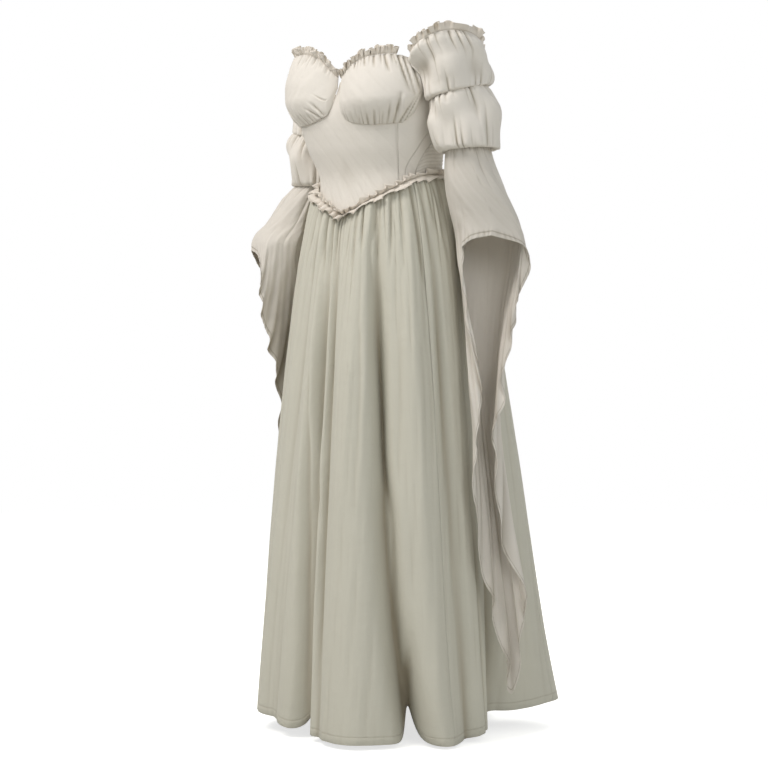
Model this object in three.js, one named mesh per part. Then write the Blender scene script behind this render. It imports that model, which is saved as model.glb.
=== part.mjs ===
// Renaissance ball gown in its worn form, with no wearer: boned bodice with gathered cups, a basque waist,
// a full gathered skirt, and sleeves of two puffs and a long cascading bell.
// Millimetres, +Z up. The gown faces -Y and the wearer's left is +X. The origin is the middle of the waist.
// Angles round the body are in degrees from the front (-Y) towards the wearer's left (+X).

import * as THREE from 'three';

const degree = Math.PI / 180;

// Cloth and seams
const bodiceWall = 1.8;
const skirtWall = 2;
const sleeveWall = 1.4;
const frillWall = 1.2;
const seamGap = 0.5;
const bodyGap = 1; // a sleeve that lies along the bodice clears it by this much
const lap = bodiceWall + seamGap; // the cups and the skirt lap over the bodice's edges

// Bodice sections: middle is how far back the section's middle lies; side, front and back are half sizes
const torsoSections = [
  { z: -110, middle: 8, side: 150, front: 108, back: 105 },
  { z: -72, middle: 6, side: 138, front: 104, back: 98 },
  { z: 0, middle: 0, side: 126, front: 94, back: 92 },
  { z: 58, middle: -15, side: 144, front: 99, back: 95 },
  { z: 109, middle: -24, side: 155, front: 102, back: 98 },
  { z: 170, middle: -28, side: 158, front: 86, back: 95 },
  { z: 240, middle: -28, side: 160, front: 80, back: 92 },
];
const torsoSquareness = 2.25;

// Waist seam with its point at the front, the seam under and beside the cups, and the neckline
const waistSeam = [
  { deg: 0, z: -76 },
  { deg: 23, z: -54 },
  { deg: 45, z: -34 },
  { deg: 65, z: -13 },
  { deg: 82, z: -1 },
  { deg: 120, z: 5 },
  { deg: 180, z: 8 },
];
const cupSeam = [
  { deg: 0, z: 180 },
  { deg: 3, z: 160 },
  { deg: 7, z: 124 },
  { deg: 12, z: 107 },
  { deg: 24, z: 95 },
  { deg: 45, z: 90 },
  { deg: 62, z: 92 },
  { deg: 72, z: 110 },
  { deg: 79, z: 142 },
  { deg: 86, z: 163 },
  { deg: 92, z: 166 },
];
const neckline = [
  { deg: 0, z: 180 },
  { deg: 12, z: 190 },
  { deg: 26, z: 206 },
  { deg: 42, z: 217 },
  { deg: 56, z: 219 },
  { deg: 72, z: 208 },
  { deg: 86, z: 190 },
];
const backTop = { side: 166, centre: 150, wide: 40 };
const shirring = { rows: 16, deep: 1.1 };

// Seams down the bodice, degrees from the front at each height
const bodiceSeams = [
  { z: -20, princess: 58, side: 62.5, back: 71 },
  { z: 5, princess: 58.5, side: 64, back: 74 },
  { z: 90, princess: 60, side: 88, back: 94 },
  { z: 170, princess: 60, side: 90, back: 96 },
];

// Bust cups: bulge is the rise over the bodice at the fullest place, and the rows are its share up the cup
const cup = { from: 2.4, to: 86, bulge: 44, roundness: 0.85, gathers: 5, gatherDeep: 2.4 };
const rightCup = { seamLift: 12, neckLift: 20, fade: 20 };
const cupProfile = [
  { up: 0, share: 0.05 },
  { up: 0.15, share: 0.5 },
  { up: 0.38, share: 0.93 },
  { up: 0.56, share: 1 },
  { up: 0.8, share: 0.86 },
  { up: 1, share: 0.58 },
];

// Skirt without its folds: radius at the hem and height of the hem round the body, and its middle's shift
const hemShape = [
  { deg: -180, radius: 285, z: -1040 },
  { deg: -135, radius: 280, z: -1040 },
  { deg: -90, radius: 264, z: -1036 },
  { deg: -50, radius: 264, z: -1030 },
  { deg: 0, radius: 232, z: -1054 },
  { deg: 45, radius: 236, z: -1057 },
  { deg: 68, radius: 238, z: -1060 },
  { deg: 90, radius: 238, z: -1050 },
  { deg: 135, radius: 280, z: -1017 },
  { deg: 180, radius: 285, z: -1040 },
];
const skirt = { spreadPower: 0.58, middleAtHem: 35, waistEase: 3, columns: 112 };
const gathers = { count: 28, deep: 4.8, startAt: 0.02, fadeBy: 0.2 };
const skirtLevels = [0, 0.015, 0.05, 0.11, 0.2, 0.33, 0.5, 0.68, 0.85, 1];

// Large folds: out is how far a fold stands out at the hem (a valley is negative), wide its half width in
// degrees, lean how far round it has moved from the waist, lift how much it raises the hem, and grow the
// share of it that is there at mid height
const skirtFolds = [
  { deg: -165, out: -38, wide: 9, lean: 3, lift: 14, grow: 0.7 },
  { deg: -145, out: 26, wide: 12, lean: 0, lift: 0, grow: 0.7 },
  { deg: -118, out: -44, wide: 9, lean: -4, lift: 18, grow: 0.7 },
  { deg: -92, out: 16, wide: 12, lean: 0, lift: 0, grow: 0.8 },
  { deg: -68, out: -20, wide: 6, lean: 2, lift: 8, grow: 0.6 },
  { deg: -30, out: -16, wide: 8, lean: -4, lift: 4, grow: 0.5 },
  { deg: -9, out: -40, wide: 5.5, lean: 0, lift: 26, grow: 0.75 },
  { deg: 4, out: -12, wide: 4, lean: 2, lift: 0, grow: 1.6 },
  { deg: 24, out: 40, wide: 15, lean: 4, lift: 0, grow: 0.5 },
  { deg: 51.5, out: -84, wide: 5.5, lean: 15, lift: 58, grow: 0.42 },
  { deg: 63, out: 34, wide: 8, lean: 6, lift: 0, grow: 0.5 },
  { deg: 78, out: -12, wide: 4, lean: 3, lift: 0, grow: 1 },
  { deg: 108, out: -54, wide: 13, lean: 4, lift: 12, grow: 0.5 },
  { deg: 143, out: 48, wide: 13, lean: 0, lift: 0, grow: 0.55 },
  { deg: 165, out: -40, wide: 8, lean: -3, lift: 14, grow: 0.7 },
];

// Frills: tall is the free height, wave how far the waves stand out, and off how far the waist frill's
// seam lies from the crests under it
const neckFrill = { tall: 17, wave: 7, wavesEach: 8, flare: 3, reach: 0.73 };
const backFrill = { from: 114, tall: 13, wave: 5, waves: 11, flare: 2 };
const waistFrill = { off: -0.6, above: 8, below: 11, wave: 5.5, waves: 28 };
const sleeveFrill = { lift: 1.4, tall: 16, wave: 7, waves: 15, flare: 4 };

// Left sleeve, ring by ring from the top edge to the second elastic. inner, outer, front and back are the
// ring's half sizes, tiltX and tiltY raise it on that side
const upperPuff = [
  { v: 0, x: 187, y: -24, z: 213, inner: 50, outer: 66, front: 80, back: 60, tiltX: 37, tiltY: -20 },
  { v: 0.14, x: 191, y: -22, z: 205, inner: 56, outer: 70, front: 84, back: 66, tiltX: 31, tiltY: -16 },
  { v: 0.42, x: 199, y: -13, z: 190, inner: 58, outer: 67, front: 76, back: 66, tiltX: 22, tiltY: -4 },
  { v: 0.7, x: 204, y: -14, z: 169, inner: 52, outer: 62, front: 65, back: 59, tiltX: 14, tiltY: 5 },
  { v: 0.9, x: 206, y: -17, z: 154, inner: 46, outer: 53, front: 53, back: 51, tiltX: 11, tiltY: 9 },
  { v: 1, x: 206, y: -19, z: 154, inner: 40, outer: 43, front: 43, back: 43, tiltX: 10, tiltY: 9 },
];
const lowerPuff = [
  { v: 0, x: 206, y: -19, z: 151.5, inner: 40, outer: 43, front: 43, back: 43, tiltX: 10, tiltY: 9 },
  { v: 0.14, x: 207, y: -16, z: 143, inner: 47, outer: 56, front: 55, back: 55, tiltX: 9, tiltY: 7 },
  { v: 0.4, x: 211, y: -7, z: 113, inner: 54, outer: 65, front: 64, back: 67, tiltX: 6, tiltY: 4 },
  { v: 0.7, x: 215, y: -2, z: 76, inner: 54, outer: 61, front: 67, back: 64, tiltX: 2, tiltY: -2 },
  { v: 0.9, x: 217, y: 0, z: 50, inner: 47, outer: 54, front: 58, back: 54, tiltX: 3, tiltY: 2 },
  { v: 1, x: 218, y: 1.5, z: 46, inner: 38, outer: 40, front: 40, back: 40, tiltX: 5, tiltY: 4 },
];

// The right sleeve is held lower and further back: how far its rings move in, back and down. The lower
// puff's rows are 1 to 2
const rightSleeveShift = [
  { v: 0, inward: 12, back: 68, down: 40 },
  { v: 0.42, inward: 18, back: 64, down: 40 },
  { v: 0.7, inward: 22, back: 56, down: 40 },
  { v: 1, inward: 26, back: 46, down: 40 },
  { v: 1.4, inward: 24, back: 35, down: 41 },
  { v: 1.7, inward: 30, back: 34, down: 41 },
  { v: 2, inward: 32, back: 28.5, down: 40 },
];
const puff = { gathers: 10, gatherDeep: 0.055, gatherEnd: 12, columns: 30, rows: 5 };

// Bells. They open towards a line turned out from the front. In that turned frame out points to the
// opening and across runs square to it, away from the other arm. The line is the middle and radius of
// the bell at each height, the hem is the place of the free edge at each turn round the arm: 180 is the
// short side in the opening, 0 the tip of the tail, and negative turns lie towards the front. The pull
// to the hem's place sets in by bend down a column, and its swing from side to side later, by swingBend.
// Miter limits how far the wall thickens at a fold. The front edge, and cloth near it, keeps off the skirt
const bell = { opens: 42, columns: 32, rows: 13, bend: 2.2, swingBend: 5, topTilt: 6, miter: 0.6 };
const courseSteps = [-16, -8, 0, 8, 16]; // turns round each one over which the hem's course is averaged
const bellGap = { skirt: 4, behindFront: 0.07, front: -110 };
const leftBellLine = [
  { z: 44.8, across: 163, out: 144.7, radius: 39 },
  { z: 12, across: 167, out: 142, radius: 46 },
  { z: -40, across: 179, out: 135, radius: 56 },
  { z: -130, across: 204, out: 110, radius: 66 },
  { z: -300, across: 195, out: 122, radius: 52 },
  { z: -430, across: 188, out: 148, radius: 42 },
  { z: -700, across: 205, out: 146, radius: 25 },
  { z: -980, across: 240, out: 128, radius: 12 },
];
const leftBellHem = [
  { turn: -180, across: 206, out: 177, z: -120 },
  { turn: -150, across: 172, out: 168, z: -126 },
  { turn: -128, across: 154, out: 155, z: -144 },
  { turn: -112, across: 154, out: 150, z: -212 },
  { turn: -95, across: 168, out: 160, z: -312 },
  { turn: -80, across: 186, out: 172, z: -388 },
  { turn: -68, across: 184, out: 178, z: -463 },
  { turn: -56, across: 172, out: 176, z: -530 },
  { turn: -48, across: 179, out: 172, z: -620 },
  { turn: -40, across: 180, out: 164, z: -702 },
  { turn: -28, across: 206, out: 150, z: -790 },
  { turn: -18, across: 214, out: 139, z: -850 },
  { turn: -8, across: 236, out: 129, z: -921 },
  { turn: 0, across: 246, out: 120, z: -980 },
  { turn: 7, across: 264, out: 126, z: -918 },
  { turn: 15, across: 262, out: 135, z: -850 },
  { turn: 24, across: 276, out: 150, z: -795 },
  { turn: 33, across: 222, out: 156, z: -686 },
  { turn: 42, across: 218, out: 166, z: -575 },
  { turn: 52, across: 206, out: 174, z: -500 },
  { turn: 62, across: 220, out: 179, z: -450 },
  { turn: 74, across: 226, out: 176, z: -375 },
  { turn: 88, across: 244, out: 170, z: -310 },
  { turn: 102, across: 250, out: 160, z: -258 },
  { turn: 118, across: 262, out: 152, z: -220 },
  { turn: 134, across: 280, out: 150, z: -178 },
  { turn: 156, across: 268, out: 164, z: -140 },
  { turn: 180, across: 206, out: 177, z: -120 },
];
const rightBellLine = [
  { z: 4.8, across: 160, out: 108, radius: 40 },
  { z: -8, across: 157, out: 120, radius: 43 },
  { z: -30, across: 152, out: 135, radius: 47 },
  { z: -75, across: 142, out: 154, radius: 47 },
  { z: -124, across: 126, out: 181, radius: 58 },
  { z: -300, across: 165, out: 172, radius: 52 },
  { z: -430, across: 208, out: 144, radius: 40 },
  { z: -700, across: 232, out: 152, radius: 25 },
  { z: -980, across: 252, out: 148, radius: 12 },
];
const rightBellHem = [
  { turn: -180, across: 100, out: 246, z: -132 },
  { turn: -158, across: 80, out: 236, z: -142 },
  { turn: -138, across: 64, out: 231, z: -168 },
  { turn: -118, across: 52, out: 232, z: -212 },
  { turn: -100, across: 56, out: 226, z: -275 },
  { turn: -84, across: 75, out: 210, z: -335 },
  { turn: -68, across: 112, out: 196, z: -392 },
  { turn: -56, across: 152, out: 189, z: -470 },
  { turn: -46, across: 178, out: 184, z: -560 },
  { turn: -36, across: 198, out: 179, z: -680 },
  { turn: -26, across: 218, out: 172, z: -780 },
  { turn: -17, across: 226, out: 163, z: -850 },
  { turn: -8, across: 244, out: 154, z: -921 },
  { turn: 0, across: 254, out: 146, z: -980 },
  { turn: 7, across: 262, out: 150, z: -918 },
  { turn: 15, across: 248, out: 155, z: -850 },
  { turn: 24, across: 256, out: 160, z: -780 },
  { turn: 33, across: 232, out: 162, z: -686 },
  { turn: 42, across: 240, out: 166, z: -575 },
  { turn: 54, across: 222, out: 172, z: -460 },
  { turn: 68, across: 230, out: 180, z: -380 },
  { turn: 84, across: 222, out: 188, z: -318 },
  { turn: 102, across: 206, out: 197, z: -262 },
  { turn: 122, across: 184, out: 208, z: -208 },
  { turn: 146, across: 154, out: 227, z: -164 },
  { turn: 180, across: 100, out: 246, z: -132 },
];

// A smooth line through one column of a table, which never overshoots its rows
function curve(rows, key, name) {
  const at = rows.map((row) => row[key]);
  const value = rows.map((row) => row[name]);
  const last = at.length - 1;
  const slope = [];
  for (let i = 0; i < last; i += 1) {
    slope.push((value[i + 1] - value[i]) / (at[i + 1] - at[i]));
  }
  const tangent = at.map((_, i) => {
    if (i === 0) return slope[0];
    if (i === last) return slope[last - 1];
    const both = slope[i - 1] * slope[i];
    return both <= 0 ? 0 : (2 * both) / (slope[i - 1] + slope[i]);
  });
  return (x) => {
    const inside = Math.min(Math.max(x, at[0]), at[last]);
    let i = 0;
    while (i < last - 1 && inside > at[i + 1]) i += 1;
    const step = at[i + 1] - at[i];
    const u = (inside - at[i]) / step;
    const rise = u * u * (3 - 2 * u);
    const start = u * (1 - u) * (1 - u) * step * tangent[i];
    const finish = u * u * (u - 1) * step * tangent[i + 1];
    return value[i] * (1 - rise) + value[i + 1] * rise + start + finish;
  };
}

function curves(rows, key) {
  const names = Object.keys(rows[0]).filter((name) => name !== key);
  return Object.fromEntries(names.map((name) => [name, curve(rows, key, name)]));
}

const torso = curves(torsoSections, 'z');
const waistZ = curve(waistSeam, 'deg', 'z');
const cupSeamZ = curve(cupSeam, 'deg', 'z');
const neckZ = curve(neckline, 'deg', 'z');
const seams = curves(bodiceSeams, 'z');
const cupShare = curve(cupProfile, 'up', 'share');
const hem = curves(hemShape, 'deg');
const rightShift = curves(rightSleeveShift, 'v');

const wrap = (deg) => deg - 360 * Math.round(deg / 360);
const bump = (x) => Math.exp(-x * x);
const blend = (a, b, u) => a + (b - a) * u;
const polar = (deg, radius, middle, z) =>
  new THREE.Vector3(radius * Math.sin(deg * degree), middle - radius * Math.cos(deg * degree), z);
const spread = (count) => Array.from({ length: count + 1 }, (_, i) => i / count);

// Radius of the bodice from its section's middle
function torsoRadius(deg, z) {
  const across = Math.abs(Math.sin(deg * degree)) / torso.side(z);
  const half = Math.cos(deg * degree) > 0 ? torso.front(z) : torso.back(z);
  const along = Math.abs(Math.cos(deg * degree)) / half;
  return (across ** torsoSquareness + along ** torsoSquareness) ** (-1 / torsoSquareness);
}

// A cup's rise over the bodice: a rounded arch across it, times its profile up it, with gathers that
// fade away from its seams. The right cup sits a little higher
function cupLift(deg, most) {
  return most * Math.max(0, Math.min(1, -deg / rightCup.fade, (90 + deg) / rightCup.fade));
}

function cupEdges(deg) {
  const side = Math.abs(deg);
  return [cupSeamZ(side) + cupLift(deg, rightCup.seamLift), neckZ(side) + cupLift(deg, rightCup.neckLift)];
}

function bodiceTop(deg) {
  const side = Math.abs(deg);
  if (side < 90) return cupEdges(deg)[0];
  return blend(backTop.side, backTop.centre, bump((180 - side) / backTop.wide));
}

function cupUp(deg, z) {
  const [low, high] = cupEdges(deg);
  return (z - low) / (high - low);
}

function cupRise(deg, up) {
  const along = (Math.abs(deg) - cup.from) / (cup.to - cup.from);
  if (along <= 0 || along >= 1) return 0;
  const arch = Math.sin(Math.PI * along) ** cup.roundness;
  const edge = 0.9 * bump(up / 0.3) + 0.6 * bump((1 - up) / 0.2);
  const gather = Math.cos(2 * Math.PI * cup.gathers * along + 1.5 * up) * cup.gatherDeep * edge;
  return arch * (cup.bulge * cupShare(Math.min(Math.max(up, 0), 1)) + gather);
}

// Outer radius of the bodice with its cups, which the sleeves stay clear of
function bodyRadius(deg, z) {
  const side = Math.abs(deg);
  if (side > cup.to + 5) return torsoRadius(deg, z) + bodiceWall + shirring.deep;
  const up = cupUp(deg, z);
  const rise = up > -0.3 && up < 1.4 ? 2 * lap + cupRise(deg, Math.min(up, 1)) : 0;
  return torsoRadius(deg, z) + rise + bodiceWall;
}

// Skirt radius from its own middle at share t of the way down: the waist opens out to the hem, with
// gathers that fade below the seam and large folds that drift round and grow to the hem. With crests it
// is the radius of the gathers' crests all round
function skirtMiddle(deg, t) {
  return blend(torso.middle(waistZ(Math.abs(wrap(deg)))), skirt.middleAtHem, t ** 0.6);
}

function foldGrowth(grow, t) {
  return Math.min(1, t / 0.3) * grow * (1 - t ** 5) + t ** 5;
}

function skirtRadius(deg, t, crests = false) {
  const turn = wrap(deg);
  const waist = torsoRadius(turn, waistZ(Math.abs(turn))) + lap + skirt.waistEase * Math.min(1, t / 0.01);
  let radius = blend(waist, hem.radius(turn), t ** skirt.spreadPower);
  const uneven = turn + 2.5 * Math.sin(3 * turn * degree + 1) + 1.5 * Math.sin(7 * turn * degree);
  const fade = bump(t / gathers.fadeBy) + 0.6 * bump((t - 0.12) / 0.12);
  const mixed = 0.8 + 0.35 * Math.sin(5 * turn * degree + 2);
  const deep = gathers.deep * mixed * fade * Math.min(1, t / gathers.startAt);
  radius += deep * (crests ? 1 : Math.cos(gathers.count * uneven * degree));
  for (const fold of skirtFolds) {
    const centre = fold.deg - fold.lean * (1 - t ** 4);
    const wide = fold.wide * blend(0.75, 1, t);
    radius += fold.out * foldGrowth(fold.grow, t) * bump(wrap(turn - centre) / wide);
  }
  return radius;
}

function hemZ(deg) {
  let z = hem.z(wrap(deg));
  for (const fold of skirtFolds) {
    z += fold.lift * bump(wrap(deg - fold.deg) / (0.55 * fold.wide));
  }
  return z;
}

function skirtPoint(deg, t, out) {
  const radius = skirtRadius(deg, t) + out;
  const z = blend(waistZ(Math.abs(wrap(deg))) - seamGap, hemZ(deg), t);
  const middle = skirtMiddle(deg, t);
  return polar(deg, radius, middle, z);
}

function bodicePoint(deg, z, out) {
  return polar(deg, torsoRadius(deg, z) + out, torso.middle(z), z);
}

// Moves a point of a sleeve out of the bodice, or of the skirt, to the gap that it keeps there
function clearOfBodice(point, gap) {
  const middle = torso.middle(point.z);
  const deg = Math.atan2(point.x, middle - point.y) / degree;
  const reach = Math.hypot(point.x, point.y - middle);
  const least = bodyRadius(deg, point.z) + gap;
  if (reach < least) {
    point.x *= least / reach;
    point.y = middle + ((point.y - middle) * least) / reach;
  }
  return point;
}

function clearOfSkirt(point, gap) {
  for (let pass = 0; pass < 3; pass += 1) {
    const rough = Math.atan2(point.x, -point.y) / degree;
    const top = waistZ(Math.abs(rough));
    const t = Math.min(Math.max((top - point.z) / (top - hemZ(rough)), 0), 1);
    const middle = skirtMiddle(rough, t);
    const deg = Math.atan2(point.x, middle - point.y) / degree;
    const reach = Math.hypot(point.x, point.y - middle);
    const least = skirtRadius(deg, t, true) + skirtWall + gap + waistFrill.wave * bump(t / 0.03);
    if (reach < least) {
      point.x *= least / reach;
      point.y = middle + ((point.y - middle) * least) / reach;
    }
  }
  return point;
}

// A wall of cloth over a grid: place gives a point for each column and row, and for how far out of the
// cloth's inner face it lies. The two faces are joined by a rim, or by two rims where the grid closes
// round on itself
function clothMesh(name, columns, rows, place, wall, closed, colour) {
  const across = columns.length;
  const down = rows.length;
  const points = [];
  for (const out of [0, wall]) {
    for (const column of columns) {
      for (const row of rows) points.push(place(column, row, out));
    }
  }
  const at = (face, i, j) => (face * across + (i % across)) * down + j;
  const triangles = [];
  const quad = (a, b, c, d) => triangles.push(a, b, c, a, c, d);
  const spans = closed ? across : across - 1;
  for (let i = 0; i < spans; i += 1) {
    for (let j = 0; j < down - 1; j += 1) {
      quad(at(0, i, j), at(0, i, j + 1), at(0, i + 1, j + 1), at(0, i + 1, j));
      quad(at(1, i, j), at(1, i + 1, j), at(1, i + 1, j + 1), at(1, i, j + 1));
    }
    quad(at(0, i, 0), at(0, i + 1, 0), at(1, i + 1, 0), at(1, i, 0));
    quad(at(0, i, down - 1), at(1, i, down - 1), at(1, i + 1, down - 1), at(0, i + 1, down - 1));
  }
  if (!closed) {
    for (let j = 0; j < down - 1; j += 1) {
      quad(at(0, 0, j), at(1, 0, j), at(1, 0, j + 1), at(0, 0, j + 1));
      quad(at(0, across - 1, j), at(0, across - 1, j + 1), at(1, across - 1, j + 1), at(1, across - 1, j));
    }
  }
  let volume = 0;
  for (let i = 0; i < triangles.length; i += 3) {
    const [a, b, c] = [points[triangles[i]], points[triangles[i + 1]], points[triangles[i + 2]]];
    volume += a.dot(new THREE.Vector3().crossVectors(b, c));
  }
  if (volume < 0) triangles.reverse();
  const geometry = new THREE.BufferGeometry().setFromPoints(points);
  geometry.setIndex(triangles);
  geometry.computeVertexNormals();
  const material = new THREE.MeshStandardMaterial({ color: colour, roughness: 0.9, metalness: 0 });
  const mesh = new THREE.Mesh(geometry, material);
  mesh.name = name;
  return mesh;
}

const ivory = 0xd9d0c6;
const shade = 0xcbc4b6;
const gown = new THREE.Group();

// Bodice panels. Each column runs from the waist seam up to the panel's top edge
function bodicePanel(name, from, to, columns, rows, relief = () => 0) {
  const place = (u, v, out) => {
    const lean = u === 0 ? seamGap / 2 : u === 1 ? -seamGap / 2 : 0;
    let z = blend(-20, 120, v);
    let deg = 0;
    for (let pass = 0; pass < 3; pass += 1) {
      deg = blend(from(z), to(z), u);
      z = blend(waistZ(Math.abs(wrap(deg))), bodiceTop(wrap(deg)) - seamGap, v);
    }
    const turn = deg + lean / torsoRadius(deg, z) / degree;
    return bodicePoint(turn, z, out > 0 ? out + relief(u, v) : 0);
  };
  gown.add(clothMesh(name, spread(columns), spread(rows), place, bodiceWall, false, ivory));
}

function bodice() {
  const { princess, side, back } = seams;
  const rows = shirring.rows;
  bodicePanel('bodice_front', (z) => -princess(z), princess, 20, 5);
  bodicePanel('bodice_side_left', princess, side, 3, rows);
  bodicePanel('bodice_side_right', (z) => -side(z), (z) => -princess(z), 3, rows);
  bodicePanel('side_strip_left', side, back, 1, rows);
  bodicePanel('side_strip_right', (z) => -back(z), (z) => -side(z), 1, rows);
  const ridges = (u, v) => shirring.deep * (Math.round(v * rows) % 2);
  bodicePanel('bodice_back', back, (z) => 360 - back(z), 12, rows, ridges);
}

// Cups, one column for each angle from the gore to the underarm, one row for each share up the cup
function cupPoint(side, along, up, out) {
  const deg = side * blend(cup.from, cup.to, along ** 1.15);
  const [low, high] = cupEdges(deg);
  return bodicePoint(deg, blend(low, high, up), lap + cupRise(deg, up) + out);
}

function cups() {
  for (const [name, side] of [['left', 1], ['right', -1]]) {
    const place = (u, v, out) => cupPoint(side, u, v, out);
    gown.add(clothMesh(`cup_${name}`, spread(20), spread(7), place, bodiceWall, false, ivory));
    const frill = (u, v, out) => {
      const wave = 0.5 + 0.5 * Math.cos(2 * Math.PI * neckFrill.wavesEach * u);
      const stand = v * (neckFrill.flare + neckFrill.wave * wave);
      const point = cupPoint(side, neckFrill.reach * u, 1, out + stand);
      point.z += seamGap + v * neckFrill.tall * (0.9 + 0.12 * Math.sin(9 * u));
      return point;
    };
    const stations = spread(3 * neckFrill.wavesEach);
    gown.add(clothMesh(`neck_frill_${name}`, stations, spread(2), frill, frillWall, false, shade));
  }
  const backFrillPoint = (u, v, out) => {
    const deg = blend(backFrill.from, 360 - backFrill.from, u);
    const wave = 0.5 + 0.5 * Math.cos(2 * Math.PI * backFrill.waves * u);
    const stand = v * (backFrill.flare + backFrill.wave * wave);
    const point = bodicePoint(deg, bodiceTop(wrap(deg)), out + stand);
    point.z += v * backFrill.tall;
    return point;
  };
  const stations = spread(3 * backFrill.waves);
  gown.add(clothMesh('back_frill', stations, spread(2), backFrillPoint, frillWall, false, shade));
}

// Skirt panels and the frill that covers the waist seam
function skirtPanels() {
  const panels = [
    { name: 'skirt_front', from: -21, to: 21 },
    { name: 'skirt_left', from: 21, to: 42 },
    { name: 'skirt_back', from: 42, to: 70 },
    { name: 'skirt_right', from: 70, to: 91 },
  ];
  for (const { name, from, to } of panels) {
    const columns = Array.from({ length: to - from + 1 }, (_, i) => from + i);
    const place = (column, t, out) => {
      const lean = column === from ? seamGap / 2 : column === to ? -seamGap / 2 : 0;
      const deg = (360 * column) / skirt.columns;
      return skirtPoint(deg + lean / skirtRadius(deg, t) / degree, t, out);
    };
    gown.add(clothMesh(name, columns, skirtLevels, place, skirtWall, false, shade));
  }
  const ring = Array.from({ length: 3 * waistFrill.waves }, (_, i) => (120 * i) / waistFrill.waves);
  const frill = (deg, v, out) => {
    const turn = wrap(deg);
    const drop = blend(waistFrill.above, -waistFrill.below, v);
    const seam = waistZ(Math.abs(turn));
    const z = seam + drop;
    const t = Math.max(0, -drop) / (seam - hemZ(turn));
    const under = Math.max(torsoRadius(turn, z) + bodiceWall, skirtRadius(turn, t) + skirtWall);
    const free = Math.abs(2 * v - 1);
    const wave = 0.5 + 0.5 * Math.cos(waistFrill.waves * turn * degree + 2.2 * v);
    const radius = under + waistFrill.off + free * (1 + waistFrill.wave * wave) + out;
    return polar(turn, radius, torso.middle(z), z);
  };
  gown.add(clothMesh('waist_frill', ring, spread(2), frill, frillWall, true, shade));
}

// Puffs: an uneven ring at each station, gathered where it meets its elastics
function ringPoint(table, side, turn, v, out, ripple) {
  const c = Math.cos(turn * degree);
  const s = Math.sin(turn * degree);
  const edge = bump(v / 0.3) + bump((1 - v) / 0.3);
  const inside = Math.min(1, puff.gatherEnd * v, puff.gatherEnd * (1 - v));
  const scale = 1 + ripple * edge * inside * Math.cos(puff.gathers * turn * degree);
  const reachX = (c > 0 ? table.outer(v) : table.inner(v)) * scale + out;
  const reachY = (s > 0 ? table.back(v) : table.front(v)) * scale + out;
  const point = new THREE.Vector3(table.x(v) + reachX * c, table.y(v) + reachY * s, table.z(v));
  point.z += table.tiltX(v) * c + table.tiltY(v) * s;
  if (side < 0) {
    const far = v + table.first;
    point.x = rightShift.inward(far) - point.x;
    point.y += rightShift.back(far);
    point.z -= rightShift.down(far);
  }
  return point;
}

// Bell: the cone of the bell's line near the top, drawn over to the hem's own place further down
function bellPoint(side, line, edge, turn, v) {
  const opens = bell.opens * degree;
  const top = line.topZ + bell.topTilt * Math.sin(turn * degree);
  const z = blend(top, edge.z(turn), v);
  const pull = v ** bell.bend;
  const ringAcross = line.across(z) + line.radius(z) * Math.sin(turn * degree);
  const ringOut = line.out(z) - line.radius(z) * Math.cos(turn * degree);
  const near = courseSteps.map((step) => edge.across(wrap(turn + step)));
  const course = near.reduce((sum, value) => sum + value, 0) / near.length;
  const swing = (edge.across(turn) - course) * v ** bell.swingBend;
  const across = blend(ringAcross, course, pull) + swing;
  const out = blend(ringOut, edge.out(turn), pull);
  const x = across * Math.cos(opens) + out * Math.sin(opens);
  const y = across * Math.sin(opens) - out * Math.cos(opens);
  const behind = Math.max(0, -bellGap.front - Math.abs(turn - bellGap.front));
  const layer = bellGap.skirt + bellGap.behindFront * behind;
  return clearOfSkirt(new THREE.Vector3(side * x, y, z), layer);
}

// Both faces of a bell's wall. The outer one is moved out square to the facets round each point, further
// where they meet at an angle, so that the wall keeps some width in the folds and never crosses itself
function bellFaces(inner, side, wall) {
  const across = inner.length;
  const around = [[1, 0, 1, 1], [1, 1, 0, 1], [0, 1, -1, 0], [-1, 0, -1, -1], [-1, -1, 0, -1], [0, -1, 1, 0]];
  const outer = inner.map((column, i) => column.map((point, j) => {
    const facets = [];
    for (const [di, dj, ei, ej] of around) {
      const a = inner[(i + di + across) % across][j + dj];
      const b = inner[(i + ei + across) % across][j + ej];
      if (a && b) {
        const facet = a.clone().sub(point).cross(b.clone().sub(point));
        facets.push(facet.normalize().multiplyScalar(-side));
      }
    }
    const normal = facets.reduce((sum, facet) => sum.add(facet), new THREE.Vector3()).normalize();
    const least = Math.min(...facets.map((facet) => facet.dot(normal)));
    return normal.multiplyScalar(wall / Math.max(bell.miter, least)).add(point);
  }));
  return [inner, outer];
}

// Bell columns stand closer in the tail, where the hem swings most
function bellTurns() {
  const half = bell.columns / 2;
  return Array.from({ length: bell.columns }, (_, i) => {
    const u = (i - half) / half;
    return 180 * Math.sign(u) * Math.abs(u) ** 1.45;
  });
}

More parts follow.
